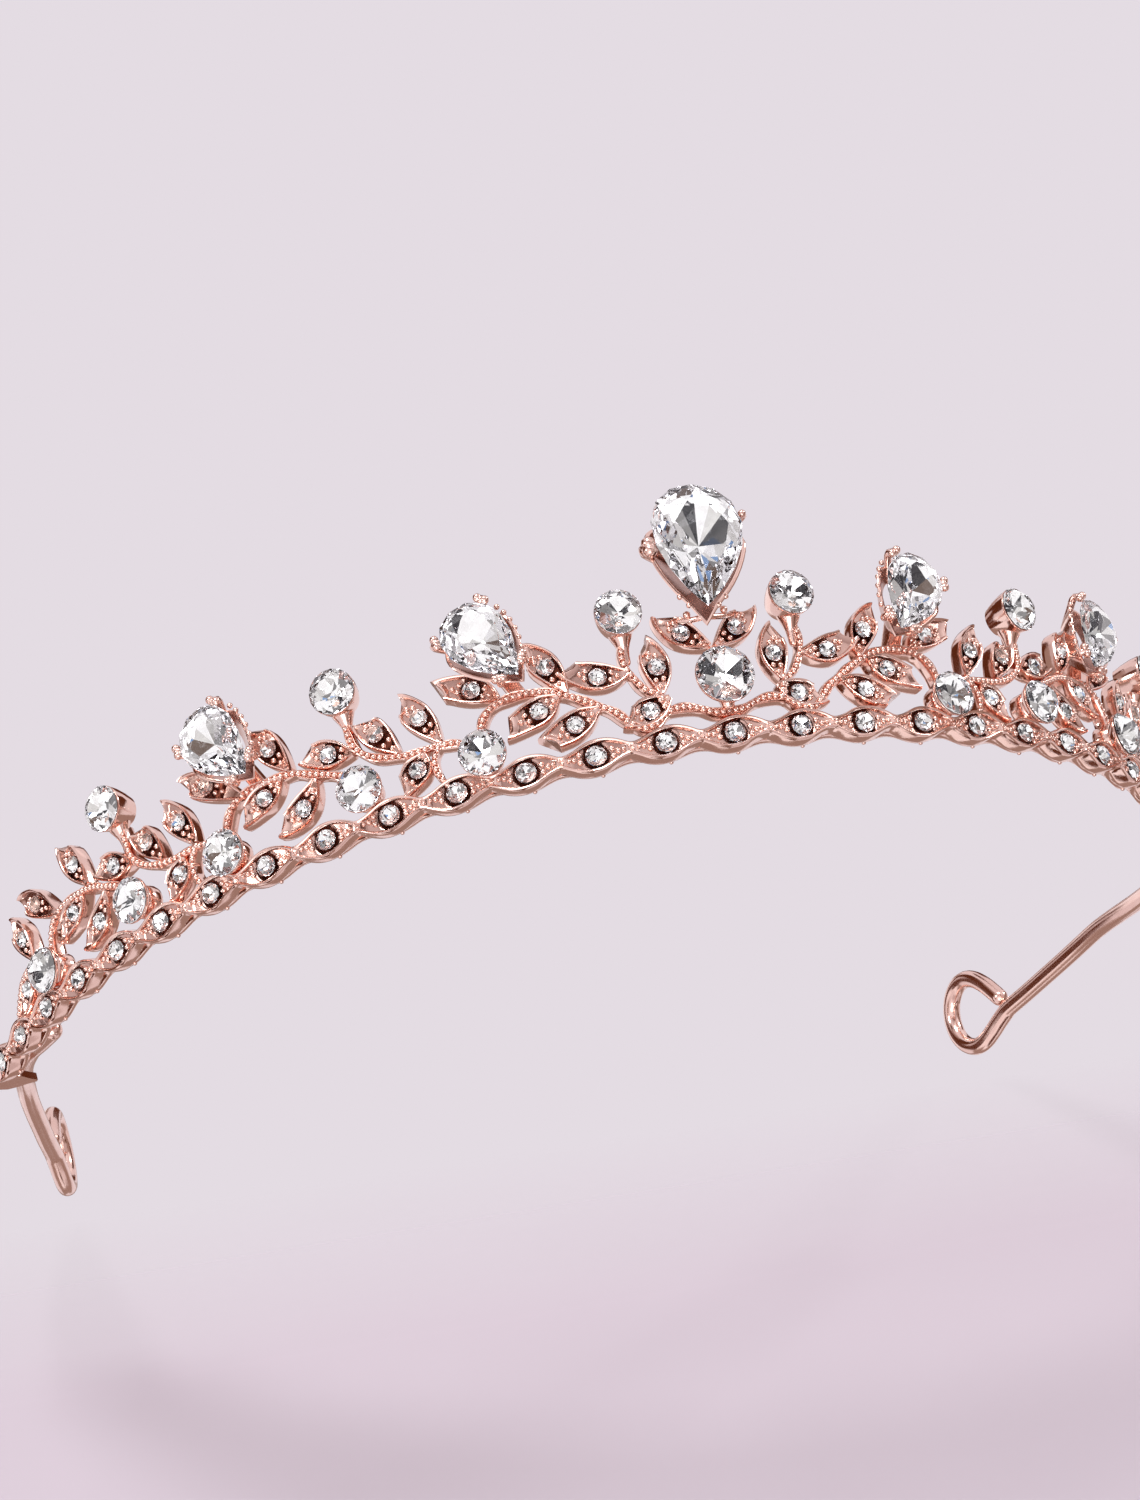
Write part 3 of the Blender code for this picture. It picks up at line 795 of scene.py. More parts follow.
# %% The struts
PEAR_STRUTS = (((21.4, 8.8), (23.2, 13.0)), ((51.8, 9.1), (53.6, 12.8)))
struts = [((0.0, 2.7), (0.0, 10.6), 0.45)]
struts += [
    ((side * low[0], low[1]), (side * high[0], high[1]), 0.85)
    for side in (-1, 1)
    for low, high in PEAR_STRUTS
]
for low, high, half in struts:
    path = smooth_path((low, ((low[0] + high[0]) / 2, (low[1] + high[1]) / 2), high), 0.6)
    count = len(path)
    vine_parts.add(
        *blade(
            path, [half] * count, [0.0] * count, [0.0] * count, half, half + 0.2, VINE_RIM, place
        )
    )
vine = vine_parts.piece("vine_and_stems", [POLISHED])
fit_to_frame(vine, "rose_gold_plating", "front_casting")
print("vine:", len(bead_runs), "strips, faces:", len(vine.data.polygons))

# %% [markdown]
# ## Milgrain and granules
# Milgrain is a row of tiny beads that catches light along an edge. A tree resamples
# each run of the vine by length and puts a small ball on every point. The granules
# in the tips of leaves and links are single balls at chosen points, so a second tree
# reads each point's own size.

# %% The trees for beads
BEAD_SPACING, BEAD_RADIUS = 0.72, 0.36  # mm
BEAD_SHAPE = {"Segments": 8, "Rings": 5}  # coarse: there are more than a thousand
bead_tree, given = new_tree(
    "milgrain_on_lines", {"Spacing": "Float", "Radius": "Float", "Finish": "Material"}
)
spots = add(
    bead_tree,
    "GeometryNodeResampleCurve",
    {"Curve": given["Geometry"], "Length": given["Spacing"]},
    mode="LENGTH",
)
bead = add(bead_tree, "GeometryNodeMeshUVSphere", {**BEAD_SHAPE, "Radius": given["Radius"]})
placed = add(
    bead_tree,
    "GeometryNodeInstanceOnPoints",
    {"Points": spots.outputs[0], "Instance": bead.outputs["Mesh"]},
)
end_tree(bead_tree, placed.outputs[0], given["Finish"])

granule_tree, given = new_tree("granules_on_points", {"Finish": "Material"})
size = add(granule_tree, "GeometryNodeInputNamedAttribute", {"Name": "size"}, data_type="FLOAT")
bead = add(granule_tree, "GeometryNodeMeshUVSphere", {**BEAD_SHAPE, "Radius": 1.0})
placed = add(
    granule_tree,
    "GeometryNodeInstanceOnPoints",
    {"Points": given["Geometry"], "Instance": bead.outputs["Mesh"], "Scale": size.outputs[0]},
)
end_tree(granule_tree, placed.outputs[0], given["Finish"])


# %% [markdown]
# ## Where the beads and granules go
# Points carry what a tree needs: a size, and for stones also two axes. Each link gets
# five granules towards each tip, smaller outwards, and one nub underneath.


# %% Milgrain on the vine, granules in leaves and links
def points_mesh(name, rows):
    """Loose points in metres, each with its size, and its two axes where given."""
    mesh = bpy.data.meshes.new(name)
    mesh.from_pydata([tuple(row[0]) for row in rows], [], [])
    sizes = mesh.attributes.new("size", "FLOAT", "POINT")
    sizes.data.foreach_set("value", [row[1] * MM for row in rows])
    for column, label in ((2, "across"), (3, "up")):
        if len(rows[0]) > column:
            axis = mesh.attributes.new(label, "FLOAT_VECTOR", "POINT")
            axis.data.foreach_set("vector", [v for row in rows for v in row[column]])
    return mesh


# Along from the link's middle, above it, radius, and depth under the link's front, in mm.
LINK_GRANULES = (
    (1.78, 0.42, 0.35, 0.42),
    (1.78, -0.42, 0.35, 0.42),
    (2.4, 0.02, 0.33, 0.42),
    (2.95, 0.05, 0.24, 0.25),
    (3.65, 0.2, 0.24, 0.08),
)
NUB_PLACE, NUB_RADIUS = (0.4, -1.56, -1.0), 0.28
for number in range(LINK_COUNT):
    along = number * LINK_PITCH - half_band
    for end in (-1, 1):
        for reach, aside, size, depth in LINK_GRANULES:
            spot = place(along + end * reach, aside * end, LINK_FRONT - depth)
            granules.append((spot, size))
    granules.append((place(along + NUB_PLACE[0], *NUB_PLACE[1:]), NUB_RADIUS))
milgrain = grow(
    "milgrain",
    lines("vine_lines", bead_runs),
    bead_tree,
    spacing=BEAD_SPACING * MM,
    radius=BEAD_RADIUS * MM,
    finish=POLISHED,
)
fit_to_frame(milgrain, "rose_gold_plating", "front_casting")
grains = grow("granules", points_mesh("granule_points", granules), granule_tree, finish=POLISHED)
fit_to_frame(grains, "rose_gold_plating", "front_casting")

# %% [markdown]
# ## Cut stones
# A brilliant cut has a flat table, star and kite facets down to the girdle, and a
# pointed pavilion behind. The same rule cuts a round or a pear, because it only
# asks for the outline. The heights make each kite flat, so it flashes as one facet.


# %% The cut
def round_outline(angle):
    """A circle of radius 1."""
    return Vector((math.sin(angle), -math.cos(angle)))


def pear_outline(angle):
    """A drop with its point down, half as wide and half as high as 1."""
    return Vector((math.sin(angle) * abs(math.sin(angle / 2)) ** 0.84 / 0.7961, -math.cos(angle)))


def cut_stone(
    outline, half_width, half_height, crown, pavilion, mains, table, centre=0.0, lower=0.74
):
    """Corners in mm, faces, and which faces are foil, of a brilliant-cut stone.

    crown and pavilion are heights, mains is the number of main facets, table and lower
    are shares of the outline, and centre is how far up the point behind sits.
    """
    star, girdle = (1 + table) * 0.52, 0.12  # where the stars end, and the edge's height
    middle = Vector((0.0, centre))

    def at(turn, scale, height):
        flat = outline(turn * math.pi / mains)
        flat = middle + (flat - middle) * scale
        return Vector((flat.x * half_width, flat.y * half_height, height))

    spread = math.cos(math.pi / mains)
    star_height = crown * (1 - star * spread) / (1 - table)
    lower_height = -pavilion * (1 - lower * spread)
    corners = [at(2 * i + 1, table, crown + girdle) for i in range(mains)]
    corners += [at(2 * i, star, star_height + girdle) for i in range(mains)]
    corners += [at(k, 1.0, girdle) for k in range(2 * mains)]
    corners += [at(k, 1.0, 0.0) for k in range(2 * mains)]
    corners += [at(2 * i, lower, lower_height) for i in range(mains)]
    corners += [Vector((0.0, centre * half_height, -pavilion))]
    n = mains
    stars, top, bottom, low, point = n, 2 * n, 4 * n, 6 * n, 7 * n
    faces, foil = [tuple(range(n))], [0]
    for i in range(n):
        j = (i + 1) % n
        a, b, c = 2 * i, 2 * i + 1, (2 * i + 2) % (2 * n)
        crown_faces = [
            (i, stars + j, j),
            (i, stars + i, top + b, stars + j),
            (stars + i, top + a, top + b),
            (stars + j, top + b, top + c),
            (top + a, bottom + a, bottom + b, top + b),
            (top + b, bottom + b, bottom + c, top + c),
        ]
        pavilion_faces = [
            (point, low + i, bottom + b, low + j),
            (low + i, bottom + a, bottom + b),
            (low + j, bottom + b, bottom + c),
        ]
        faces += crown_faces + pavilion_faces
        foil += [0] * len(crown_faces) + [1] * len(pavilion_faces)
    return corners, faces, foil


def set_stone(name, matrix, cut, *nodes):
    """A cut stone at its seat."""
    corners, faces, foil = cut
    corners = [matrix @ c for c in corners]
    piece = new_piece(name, corners, faces, [CRYSTAL, FOIL], foil=foil, sharp=0.5)
    piece.data.shade_flat()
    fit_to_frame(piece, "crystal", *nodes)
    return piece


# %% [markdown]
# ## Rhinestones
# The small stones in links and leaves are the same cut with six sides. There are 81
# of them, so one stone is repeated by a tree on points that carry the size and the
# two axes of each seat. The foil's faces are known by a face attribute.

# %% The rhinestones
BAND_STONE, BAND_STONE_OUT = 1.16, 0.82  # radius, and how far out its girdle sits
LEAF_STONE, LEAF_STONE_OUT = 1.0, 0.74
corners, faces, foil = cut_stone(round_outline, 1.0, 1.0, 0.46, 0.45, 6, 0.52)
one_stone = new_piece("one_rhinestone", corners, faces, [CRYSTAL, FOIL], sharp=0.5)
one_stone.data.shade_flat()
backed = one_stone.data.attributes.new("foil", "BOOLEAN", "FACE")
backed.data.foreach_set("value", [bool(f) for f in foil])

stone_tree, given = new_tree(
    "rhinestones_on_points", {"Stone": "Object", "Glass": "Material", "Foil": "Material"}
)
size, across, up, is_foil = [
    add(stone_tree, "GeometryNodeInputNamedAttribute", {"Name": name}, data_type=kind)
    for name, kind in (
        ("size", "FLOAT"),
        ("across", "FLOAT_VECTOR"),
        ("up", "FLOAT_VECTOR"),
        ("foil", "BOOLEAN"),
    )
]
turned = add(
    stone_tree,
    "FunctionNodeAxesToRotation",
    {"Primary Axis": across.outputs[0], "Secondary Axis": up.outputs[0]},
    primary_axis="X",
    secondary_axis="Y",
)
shape = add(stone_tree, "GeometryNodeObjectInfo", {"Object": given["Stone"]})
placed = add(
    stone_tree,
    "GeometryNodeInstanceOnPoints",
    {
        "Points": given["Geometry"],
        "Instance": shape.outputs["Geometry"],
        "Rotation": turned.outputs[0],
        "Scale": size.outputs[0],
    },
)
real = add(stone_tree, "GeometryNodeRealizeInstances", {"Geometry": placed.outputs[0]})
glass = add(
    stone_tree,
    "GeometryNodeSetMaterial",
    {"Geometry": real.outputs[0], "Material": given["Glass"]},
)
foiled = add(
    stone_tree,
    "GeometryNodeSetMaterial",
    {"Geometry": glass.outputs[0], "Selection": is_foil.outputs[0], "Material": given["Foil"]},
)
add(stone_tree, "NodeGroupOutput", {"Geometry": foiled.outputs[0]})


def seat_row(along, height, out, radius, turn):
    """A row for points_mesh: the seat's place, the stone's size and its two axes."""
    matrix = seat(along, height, out, turn)
    axes = matrix.to_3x3().normalized()
    return (matrix.translation, radius, tuple(axes.col[0]), tuple(axes.col[1]))


band_rows = [
    seat_row(n * LINK_PITCH - half_band, 0.0, BAND_STONE_OUT, BAND_STONE, 0.35 * n)
    for n in range(LINK_COUNT)
]
leaf_rows = [
    seat_row(spot.x, spot.y, LEAF_STONE_OUT, LEAF_STONE, 0.4 * k)
    for k, spot in enumerate(leaf_stones)
]
for word, rows in (("band", band_rows), ("leaf", leaf_rows)):
    small_stones = grow(
        word + "_rhinestones",
        points_mesh(word + "_seats", rows),
        stone_tree,
        stone=one_stone,
        glass=CRYSTAL,
        foil=FOIL,
    )
    fit_to_frame(small_stones, "crystal", "front_casting")
bpy.data.objects.remove(one_stone)

# %% [markdown]
# ## Round chatons
# Each round stone sits in a turned cup with a thin rim and a tapered back. A lathe
# turns the cup from its half section. The cups of the high stones open like
# trumpets out of their stems, so a short flare is swept into the cup's side.


# %% The lathe, the tube and the ball
def lathe(half_section, segments):
    """Corners and faces of a closed half section (radius, out) turned about z."""
    corners = []
    for k in range(segments):
        angle = 2 * math.pi * k / segments
        corners += [Vector((r * math.sin(angle), r * math.cos(angle), z)) for r, z in half_section]
    size = len(half_section)
    faces = []
    for k in range(segments):
        a, b = k * size, ((k + 1) % segments) * size
        faces += [(a + i, a + i + 1, b + i + 1, b + i) for i in range(size - 1)]
    return corners, faces


def cup_section(radius, back, front):
    """Half section of a cup: from the middle of its back, up the side, down inside."""
    depth = front - back
    return [
        (0.001, back),
        (0.5 * radius, back + 0.03),
        (0.68 * radius, back + 0.16),
        (0.84 * radius, back + 0.36 * depth),
        (0.95 * radius, back + 0.68 * depth),
        (radius - 0.02, front - 0.3),
        (radius, front - 0.1),
        (radius - 0.05, front - 0.02),
        (radius - 0.12, front),
        (radius - 0.2, front - 0.1),
        (radius - 0.28, front - 0.35),
        (0.5 * radius, max(front - 1.35, back + 0.4)),
        (0.001, max(front - 1.5, back + 0.3)),
    ]


def tube(points, radii, sides=14):
    """Corners and faces of a round tube through points, with rounded ends."""
    pts = [Vector(p) for p in points]
    count = len(pts)
    rings, normal = [], None
    for k in range(count):
        way = (pts[min(k + 1, count - 1)] - pts[max(k - 1, 0)]).normalized()
        if normal is None:
            normal = way.orthogonal().normalized()
        normal = (normal - way * normal.dot(way)).normalized()
        rings.append((pts[k], way, normal.copy(), radii[k]))
    first, last = rings[0], rings[-1]
    lids = ((0.92, 0.35), (0.7, 0.7), (0.35, 0.92))  # radius and reach, along a quarter circle

    def lid(ring, a, b):
        spot, way, normal, radius = ring
        return spot + way * radius * b, way, normal, radius * a

    whole = [lid(first, a, -b) for a, b in reversed(lids)]
    whole += rings
    whole += [lid(last, a, b) for a, b in lids]
    corners = []
    for spot, way, normal, radius in whole:
        side = way.cross(normal)
        for i in range(sides):
            angle = 2 * math.pi * i / sides
            corners.append(spot + (normal * math.cos(angle) + side * math.sin(angle)) * radius)
    return corners, rings_to_faces(len(whole), sides)


def ball(centre, radius, across=12, up=8):
    """Corners and faces of a ball."""
    centre = Vector(centre)
    corners, faces = [centre + Vector((0, 0, radius))], []
    for k in range(1, up):
        lift = math.pi * k / up
        for i in range(across):
            turn = 2 * math.pi * i / across
            flat = math.sin(lift)
            spot = Vector((math.cos(turn) * flat, math.sin(turn) * flat, math.cos(lift)))
            corners.append(centre + spot * radius)
    corners.append(centre - Vector((0, 0, radius)))
    for i in range(across):
        j = (i + 1) % across
        faces.append((0, 1 + i, 1 + j))
        for k in range(up - 2):
            a, b = 1 + k * across, 1 + (k + 1) * across
            faces.append((a + i, b + i, b + j, a + j))
        last = 1 + (up - 2) * across
        faces.append((last + i, len(corners) - 1, last + j))
    return corners, faces


# %% [markdown]
# ## The round stones in their cups
# Three high stones on each side stand on trumpet-shaped cups, five low ones sit in
# plain cups between the leaves, and one larger stone sits in the middle. Each is
# turned a little against its neighbour, as a setter leaves them, so no two flash at
# the same moment. The depth of a pavilion decides how much light comes back.

# %% Cups and stones
BIG_RADIUS, ROUND_RADIUS = 3.28, 2.62
STEM_ALONG, STEM_HEIGHT = (9.5, 40.4, 71.4), 15.1
HIGH_SEAT, LOW_SEAT = 2.66, 2.62  # how far out the girdles sit
LOW_ALONG, LOW_HEIGHT = (26.6, 40.1, 57.0, 70.5, 87.4), (2.9, 3.4, 2.9, 3.4, 2.9)
CUP_SEGMENTS = 40
TRUMPET = [
    ((0.0, -4.9, 0.05), 0.5),
    ((0.0, -4.2, 0.1), 0.54),
    ((0.0, -3.5, 0.2), 0.64),
    ((0.0, -2.9, 0.35), 0.88),
    ((0.0, -2.3, 0.5), 1.2),
    ((0.0, -1.5, 0.6), 1.5),
]
ROUND_CUT = cut_stone(round_outline, ROUND_RADIUS, ROUND_RADIUS, 1.25, 1.2, 8, 0.46)
LOW_CUT = cut_stone(round_outline, ROUND_RADIUS, ROUND_RADIUS, 1.25, 0.95, 8, 0.46)
BIG_CUT = cut_stone(round_outline, BIG_RADIUS, BIG_RADIUS, 1.5, 1.25, 8, 0.48)


def set_cup(name, matrix, sectional, flare, node):
    """A lathed cup at its seat, with painted shade inside and a trumpet flare down its stem."""
    parts = Heap()
    corners, faces = lathe(sectional, CUP_SEGMENTS)
    # Painted shade: the cup is painted dark from its rim inwards.
    dark = [0.0] * 7 + [0.7] + [1.0] * (len(sectional) - 8)  # dark from the rim inwards
    parts.add([matrix @ c for c in corners], faces, dark * CUP_SEGMENTS)
    if flare:
        spots, radii = zip(*flare)
        corners, faces = tube(spots, radii)
        parts.add([matrix @ c for c in corners], faces)
    piece = parts.piece(name, [POLISHED])
    fit_to_frame(piece, "rose_gold_plating", node)
    return piece


for side, word in ((-1, "left"), (1, "right")):
    for number, along in enumerate(STEM_ALONG, 1):
        label = f"{word}_{number}"
        set_cup(
            "trumpet_cup_" + label,
            seat(side * along, STEM_HEIGHT),
            cup_section(ROUND_RADIUS, -1.1, 2.55),
            TRUMPET,
            "stem_cup_" + label,
        )
        turned = seat(side * along, STEM_HEIGHT, HIGH_SEAT, 0.3 * number)
        set_stone("chaton_high_" + label, turned, ROUND_CUT, "stem_stone_" + label)
    for number, (along, height) in enumerate(zip(LOW_ALONG, LOW_HEIGHT), 1):
        label = f"{word}_{number}"
        set_cup(
            "cup_low_" + label,
            seat(side * along, height),
            cup_section(ROUND_RADIUS, 1.0, 2.5),
            None,
            "low_cup_" + label,
        )
        turned = seat(side * along, height, LOW_SEAT, 0.37 * number)
        set_stone("chaton_low_" + label, turned, LOW_CUT, "low_stone_" + label)
BIG_HEIGHT, BIG_SEAT = 6.2, 0.3
set_cup(
    "cup_big",
    seat(0.0, BIG_HEIGHT, BIG_SEAT),
    cup_section(BIG_RADIUS, 0.0, 2.0),
    [((0.0, -2.9, 0.5), 0.75), ((0.0, -2.5, 0.6), 0.95), ((0.0, -1.9, 0.7), 1.15)],
    "big_round_cup",
)
turned = seat(0.0, BIG_HEIGHT, BIG_SEAT + 2.12, 0.2)
set_stone("chaton_big", turned, BIG_CUT, "big_round_stone")
print("cups and chatons:", 2 * (len(STEM_ALONG) + len(LOW_ALONG)) + 1)

# %% [markdown]
# ## Plates and end tabs
# From behind, each low cup is soldered to a flat round plate in the vine. It is a
# simple turned disc with a softened edge, and belongs to the casting. Under each end
# of the band a small pointed tab turns inwards, where the wire is soldered on.

# %% Plates and end tabs
DISC = (
    (0.001, -0.95), (1.5, -0.95), (1.8, -0.75), (1.9, -0.4), (1.9, 1.1), (1.7, 1.35), (0.001, 1.4)
)
TAB_PAST, TAB_FLOOR, TAB_TOP = 2.4, -1.75, -0.85
TAB_WIDTHS = ((-1.1, 1.9), (0.6, 2.1), (1.6, 1.6), (2.7, 0.8), (3.7, 0.25))  # inwards, half
plate_parts = Heap()
for side in (-1, 1):
    for along, height in zip(LOW_ALONG, LOW_HEIGHT):
        matrix = seat(side * along, height)
        corners, faces = lathe(DISC, 28)
        plate_parts.add([matrix @ c for c in corners], faces)
    middle = side * (half_band + TAB_PAST)
    corners = []
    for inward, half in TAB_WIDTHS:
        for x, z in ((-half, TAB_FLOOR), (half, TAB_FLOOR), (half, TAB_TOP), (-half, TAB_TOP)):
            corners.append(place(middle + x, z, -inward))
    plate_parts.add(corners, rings_to_faces(len(TAB_WIDTHS), 4))
plates = plate_parts.piece("plates_and_end_tabs", [POLISHED])
fit_to_frame(plates, "rose_gold_plating", "front_casting")
print("plates and tabs:", len(plates.data.polygons), "faces")

# %% [markdown]
# ## Pear settings
# A pear stone stands in a basket: a thin wall that follows the drop's outline, low
# behind its round end and high along its point, with claws that bend over the edge.
# The wall is a loft of the outline at growing scales. Each claw is a short bent tube
# that ends in two small lobes, as claws do when they are cast as a split bead.


# %% The pear settings
# The second number is how dark the painted shade inside a basket's wall is.
WALL_POINTS, WALL_DARK = 48, 0.55
# How a basket is made: its floor's height and scale, the wall's thickness, how far it
# stands off the stone, a claw's radius, how far the rim is below the girdle, and how
# much further it stands off at the drop's point.
Basket = namedtuple("Basket", "floor base_scale thick stand radius drop foot")


def off_stone(flat, half_width, half_height):
    """The outline's point in mm, and the way from the stone's middle to its outside."""
    near = flat - Vector((0.0, 0.15))
    out = Vector((flat.x * half_width, flat.y * half_height))
    return out, Vector((near.x / half_width, near.y / half_height)).normalized()


def wall_rise(angle):
    """How high the wall reaches: full round the point, a quarter behind the round end."""
    return 1.0 - ease((angle - math.radians(92)) / math.radians(45)) * 0.75


def wall_of(half_width, half_height, girdle, basket):
    """Corners, faces and painted shade of the basket's wall, in the stone's own mm."""
    floor, base_scale, thick = basket.floor, basket.base_scale, basket.thick
    stand, foot = basket.stand * 0.55, basket.foot
    corners, recess = [], []
    count = WALL_POINTS
    for k in range(count):
        angle = 2 * math.pi * k / count
        flat = pear_outline(angle)
        grip = wall_rise(min(angle, 2 * math.pi - angle))
        top = floor + 1.0 + (girdle - 0.25 - floor - 1.0) * grip
        share = (top - floor) / (girdle - 0.25 - floor)
        out, way = off_stone(flat, half_width, half_height)
        low = out * base_scale
        near_point = 1.0 - ease(min(angle, 2 * math.pi - angle) / math.radians(40))
        high = low + (out + way * stand * (1 + foot * near_point) - low) * share
        # The last column is painted shade: dark down the inside of the wall, none outside.
        for spot, shift, height, dark in (
            (low, thick * 0.5, floor, 0.0),
            (low.lerp(high, 0.5), thick * 0.55, floor + (top - floor) * 0.45, 0.0),
            (high, thick * 0.5, top - 0.12, 0.0),
            (high, thick * 0.2, top, 0.0),
            (high, -thick * 0.3, top - 0.02, 0.1),
            (high, -thick * 0.5, top - 0.2, 0.6),
            (low.lerp(high, 0.5), -thick * 0.5, floor + (top - floor) * 0.5, 1.0),
            (low, -thick * 0.6, floor + 0.3, 1.0),
        ):
            flatly = spot + way * shift
            corners.append(Vector((flatly.x, flatly.y, height)))
            recess.append(dark * WALL_DARK)
    return corners, rings_to_faces(count, 8, closed=True), recess


def claw(half_width, half_height, angle, girdle, basket, radius, lobes):
    """Tubes and balls of one claw at an angle of the outline."""
    floor, stand = basket.floor, basket.stand
    out, way = off_stone(pear_outline(angle), half_width, half_height)
    foot = out * basket.base_scale
    beside = out + way * stand
    over = out + way * (stand - 0.35)
    path = smooth_path(
        (
            (foot.x, foot.y, floor + 0.2),
            ((foot.x + beside.x) / 2, (foot.y + beside.y) / 2, floor + (girdle - floor) * 0.45),
            (beside.x, beside.y, girdle - 0.4),
            (over.x, over.y, girdle + 0.45),
        ),
        0.4,
    )
    made = [tube(path, [radius] * len(path), 12)]
    across = Vector((-way.y, way.x))
    for aside in lobes:
        spot = over + across * aside + way * 0.1
        made.append(ball((spot.x, spot.y, girdle + 0.45), radius * 1.12))
    return made


def set_pear(label, matrix, half_width, half_height, girdle, basket, claws, beads, node):
    """The basket, its claws and its row of beads, as one piece.

    claws gives each one's angle in degrees, the places of its lobes and its thickness;
    beads gives the angles of the beads on the wall.
    """
    parts = Heap()
    girdle = girdle - basket.drop
    corners, faces, recess = wall_of(half_width, half_height, girdle, basket)
    parts.add([matrix @ c for c in corners], faces, recess)
    for degrees, lobes, share in claws:
        angle, radius = math.radians(degrees), basket.radius * share
        made = claw(half_width, half_height, angle, girdle, basket, radius, lobes)
        for corners, faces in made:
            parts.add([matrix @ c for c in corners], faces)
    for degrees in beads:
        out, way = off_stone(pear_outline(math.radians(degrees)), half_width, half_height)
        spot = out + way * basket.stand * 0.75
        corners, faces = ball((spot.x, spot.y, girdle - 0.45), 0.34, 10, 6)
        parts.add([matrix @ c for c in corners], faces)
    piece = parts.piece("basket_" + label, [POLISHED])
    fit_to_frame(piece, "rose_gold_plating", node)
    return piece


# %% [markdown]
# ## The centre pear
# The largest stone stands highest, leans with the front and is turned a few degrees,
# as it was soldered. Its basket has a deep point and two claws, and it rests on a
# small fork that joins the two upper leaves.

# %% The centre pear
PAIR = (-0.42, 0.42)  # mm: where the two lobes of a split claw sit
CENTRE_PLACE, CENTRE_GIRDLE = (0.0, 20.6), 4.8
CENTRE_TURN = math.radians(6)
set_pear(
    "centre",
    seat(*CENTRE_PLACE, 0.0, CENTRE_TURN),
    5.1,
    7.3,
    CENTRE_GIRDLE,
    Basket(floor=0.0, base_scale=0.5, thick=0.6, stand=0.9, radius=0.6, drop=1.1, foot=2.0),
    ((269, PAIR, 1.25), (122, (0.0,), 0.7)),
    (36, 47, 313, 324),
    "pear_setting_centre",
)
set_stone(
    "pear_stone_cut_centre",
    seat(*CENTRE_PLACE, CENTRE_GIRDLE, CENTRE_TURN),
    cut_stone(pear_outline, 5.15, 7.35, 1.7, 2.1, 8, 0.6, 0.0, 0.55),
    "pear_stone_centre",
)

# %% The fork under the centre pear
FORK = ((-3.0, 13.7, 0.6), (-1.9, 13.3, 1.4), (-0.6, 13.0, 2.3), (1.5, 13.3, 1.5), (3.0, 13.8, 0.6))
FORK_RADIUS, FORK_BEADS, FORK_BEAD = 0.34, ((-2.2, 13.9, 1.5), (1.9, 14.0, 1.6)), 0.44
fork_line = [place(*spot) for spot in smooth_path(FORK, 0.3)]
fork_parts = Heap()
fork_parts.add(*tube(fork_line, [FORK_RADIUS * MM] * len(fork_line), 12))
for spot in FORK_BEADS:
    fork_parts.add(*ball(place(*spot), FORK_BEAD * MM))
fork = fork_parts.piece("fork_under_centre_pear", [POLISHED])
fit_to_frame(fork, "rose_gold_plating", "front_casting")
print("fork:", len(fork.data.polygons), "faces")

# %% [markdown]
# ## The four small pears
# Two smaller pears on each side lean away from the middle, points inwards. Each has
# four split claws and a row of beads along the side of its basket that faces out.

# %% The four small pears
PEAR_PLACES, PEAR_TURN, PEAR_GIRDLE = ((23.7, 14.6), (54.2, 14.3)), math.radians(32), 3.45
PEAR_BASKET = Basket(
    floor=0.2, base_scale=0.66, thick=0.45, stand=0.75, radius=0.45, drop=0.55, foot=0.4
)
PEAR_CLAWS = [(degrees, PAIR, 1.0) for degrees in (45, 135, 225, 315)]
for side, word in ((-1, "left"), (1, "right")):
    for number, (along, height) in enumerate(PEAR_PLACES, 1):
        label = f"{word}_{number}"
        turn = side * PEAR_TURN
        set_pear(
            label,
            seat(side * along, height, 0.0, turn),
            3.65,
            5.25,
            PEAR_GIRDLE,
            PEAR_BASKET,
            PEAR_CLAWS,
            [60 + 11 * k for k in range(6)] if side < 0 else [300 - 11 * k for k in range(6)],
            "pear_setting_" + label,
        )
        set_stone(
            "pear_stone_cut_" + label,
            seat(side * along, height, PEAR_GIRDLE, turn),
            cut_stone(pear_outline, 3.68, 5.3, 1.3, 1.45, 7, 0.58, 0.06, 0.55),
            "pear_stone_" + label,
        )
print("pears:", 1 + 2 * len(PEAR_PLACES))

# %% [markdown]
# ## Side wires
# Round wire is bent by hand into an open eye at its end and soldered under the last
# links. A tree sweeps a circle along the centre line, which is what Curve to Mesh is
# for, and closes both ends with balls of the same radius.

# %% The side wires
WIRE_RADIUS, WIRE_START, WIRE_INSET = 1.2, 98, 2.75
WIRE_RISE, RISE_BEFORE, RISE_LENGTH = 3.7, 3.5, 33.0  # how it climbs behind the band
wire_tree, given = new_tree(
    "wire_on_line", {"Radius": "Float", "Sides": "Int", "Finish": "Material"}
)
circle = add(
    wire_tree,
    "GeometryNodeCurvePrimitiveCircle",
    {"Radius": given["Radius"], "Resolution": given["Sides"]},
)
swept = add(
    wire_tree,
    "GeometryNodeCurveToMesh",
    {"Curve": given["Geometry"], "Profile Curve": circle.outputs[0], "Fill Caps": True},
)
ends = add(wire_tree, "GeometryNodeCurveEndpointSelection", {"Start Size": 1, "End Size": 1})
knob = add(
    wire_tree,
    "GeometryNodeMeshUVSphere",
    {"Segments": 24, "Rings": 12, "Radius": given["Radius"]},
)
capped = add(
    wire_tree,
    "GeometryNodeInstanceOnPoints",
    {"Points": given["Geometry"], "Selection": ends.outputs[0], "Instance": knob.outputs["Mesh"]},
)
both = add(wire_tree, "GeometryNodeJoinGeometry")
wire_tree.links.new(swept.outputs[0], both.inputs[0])
wire_tree.links.new(capped.outputs[0], both.inputs[0])
end_tree(wire_tree, both.outputs[0], given["Finish"])

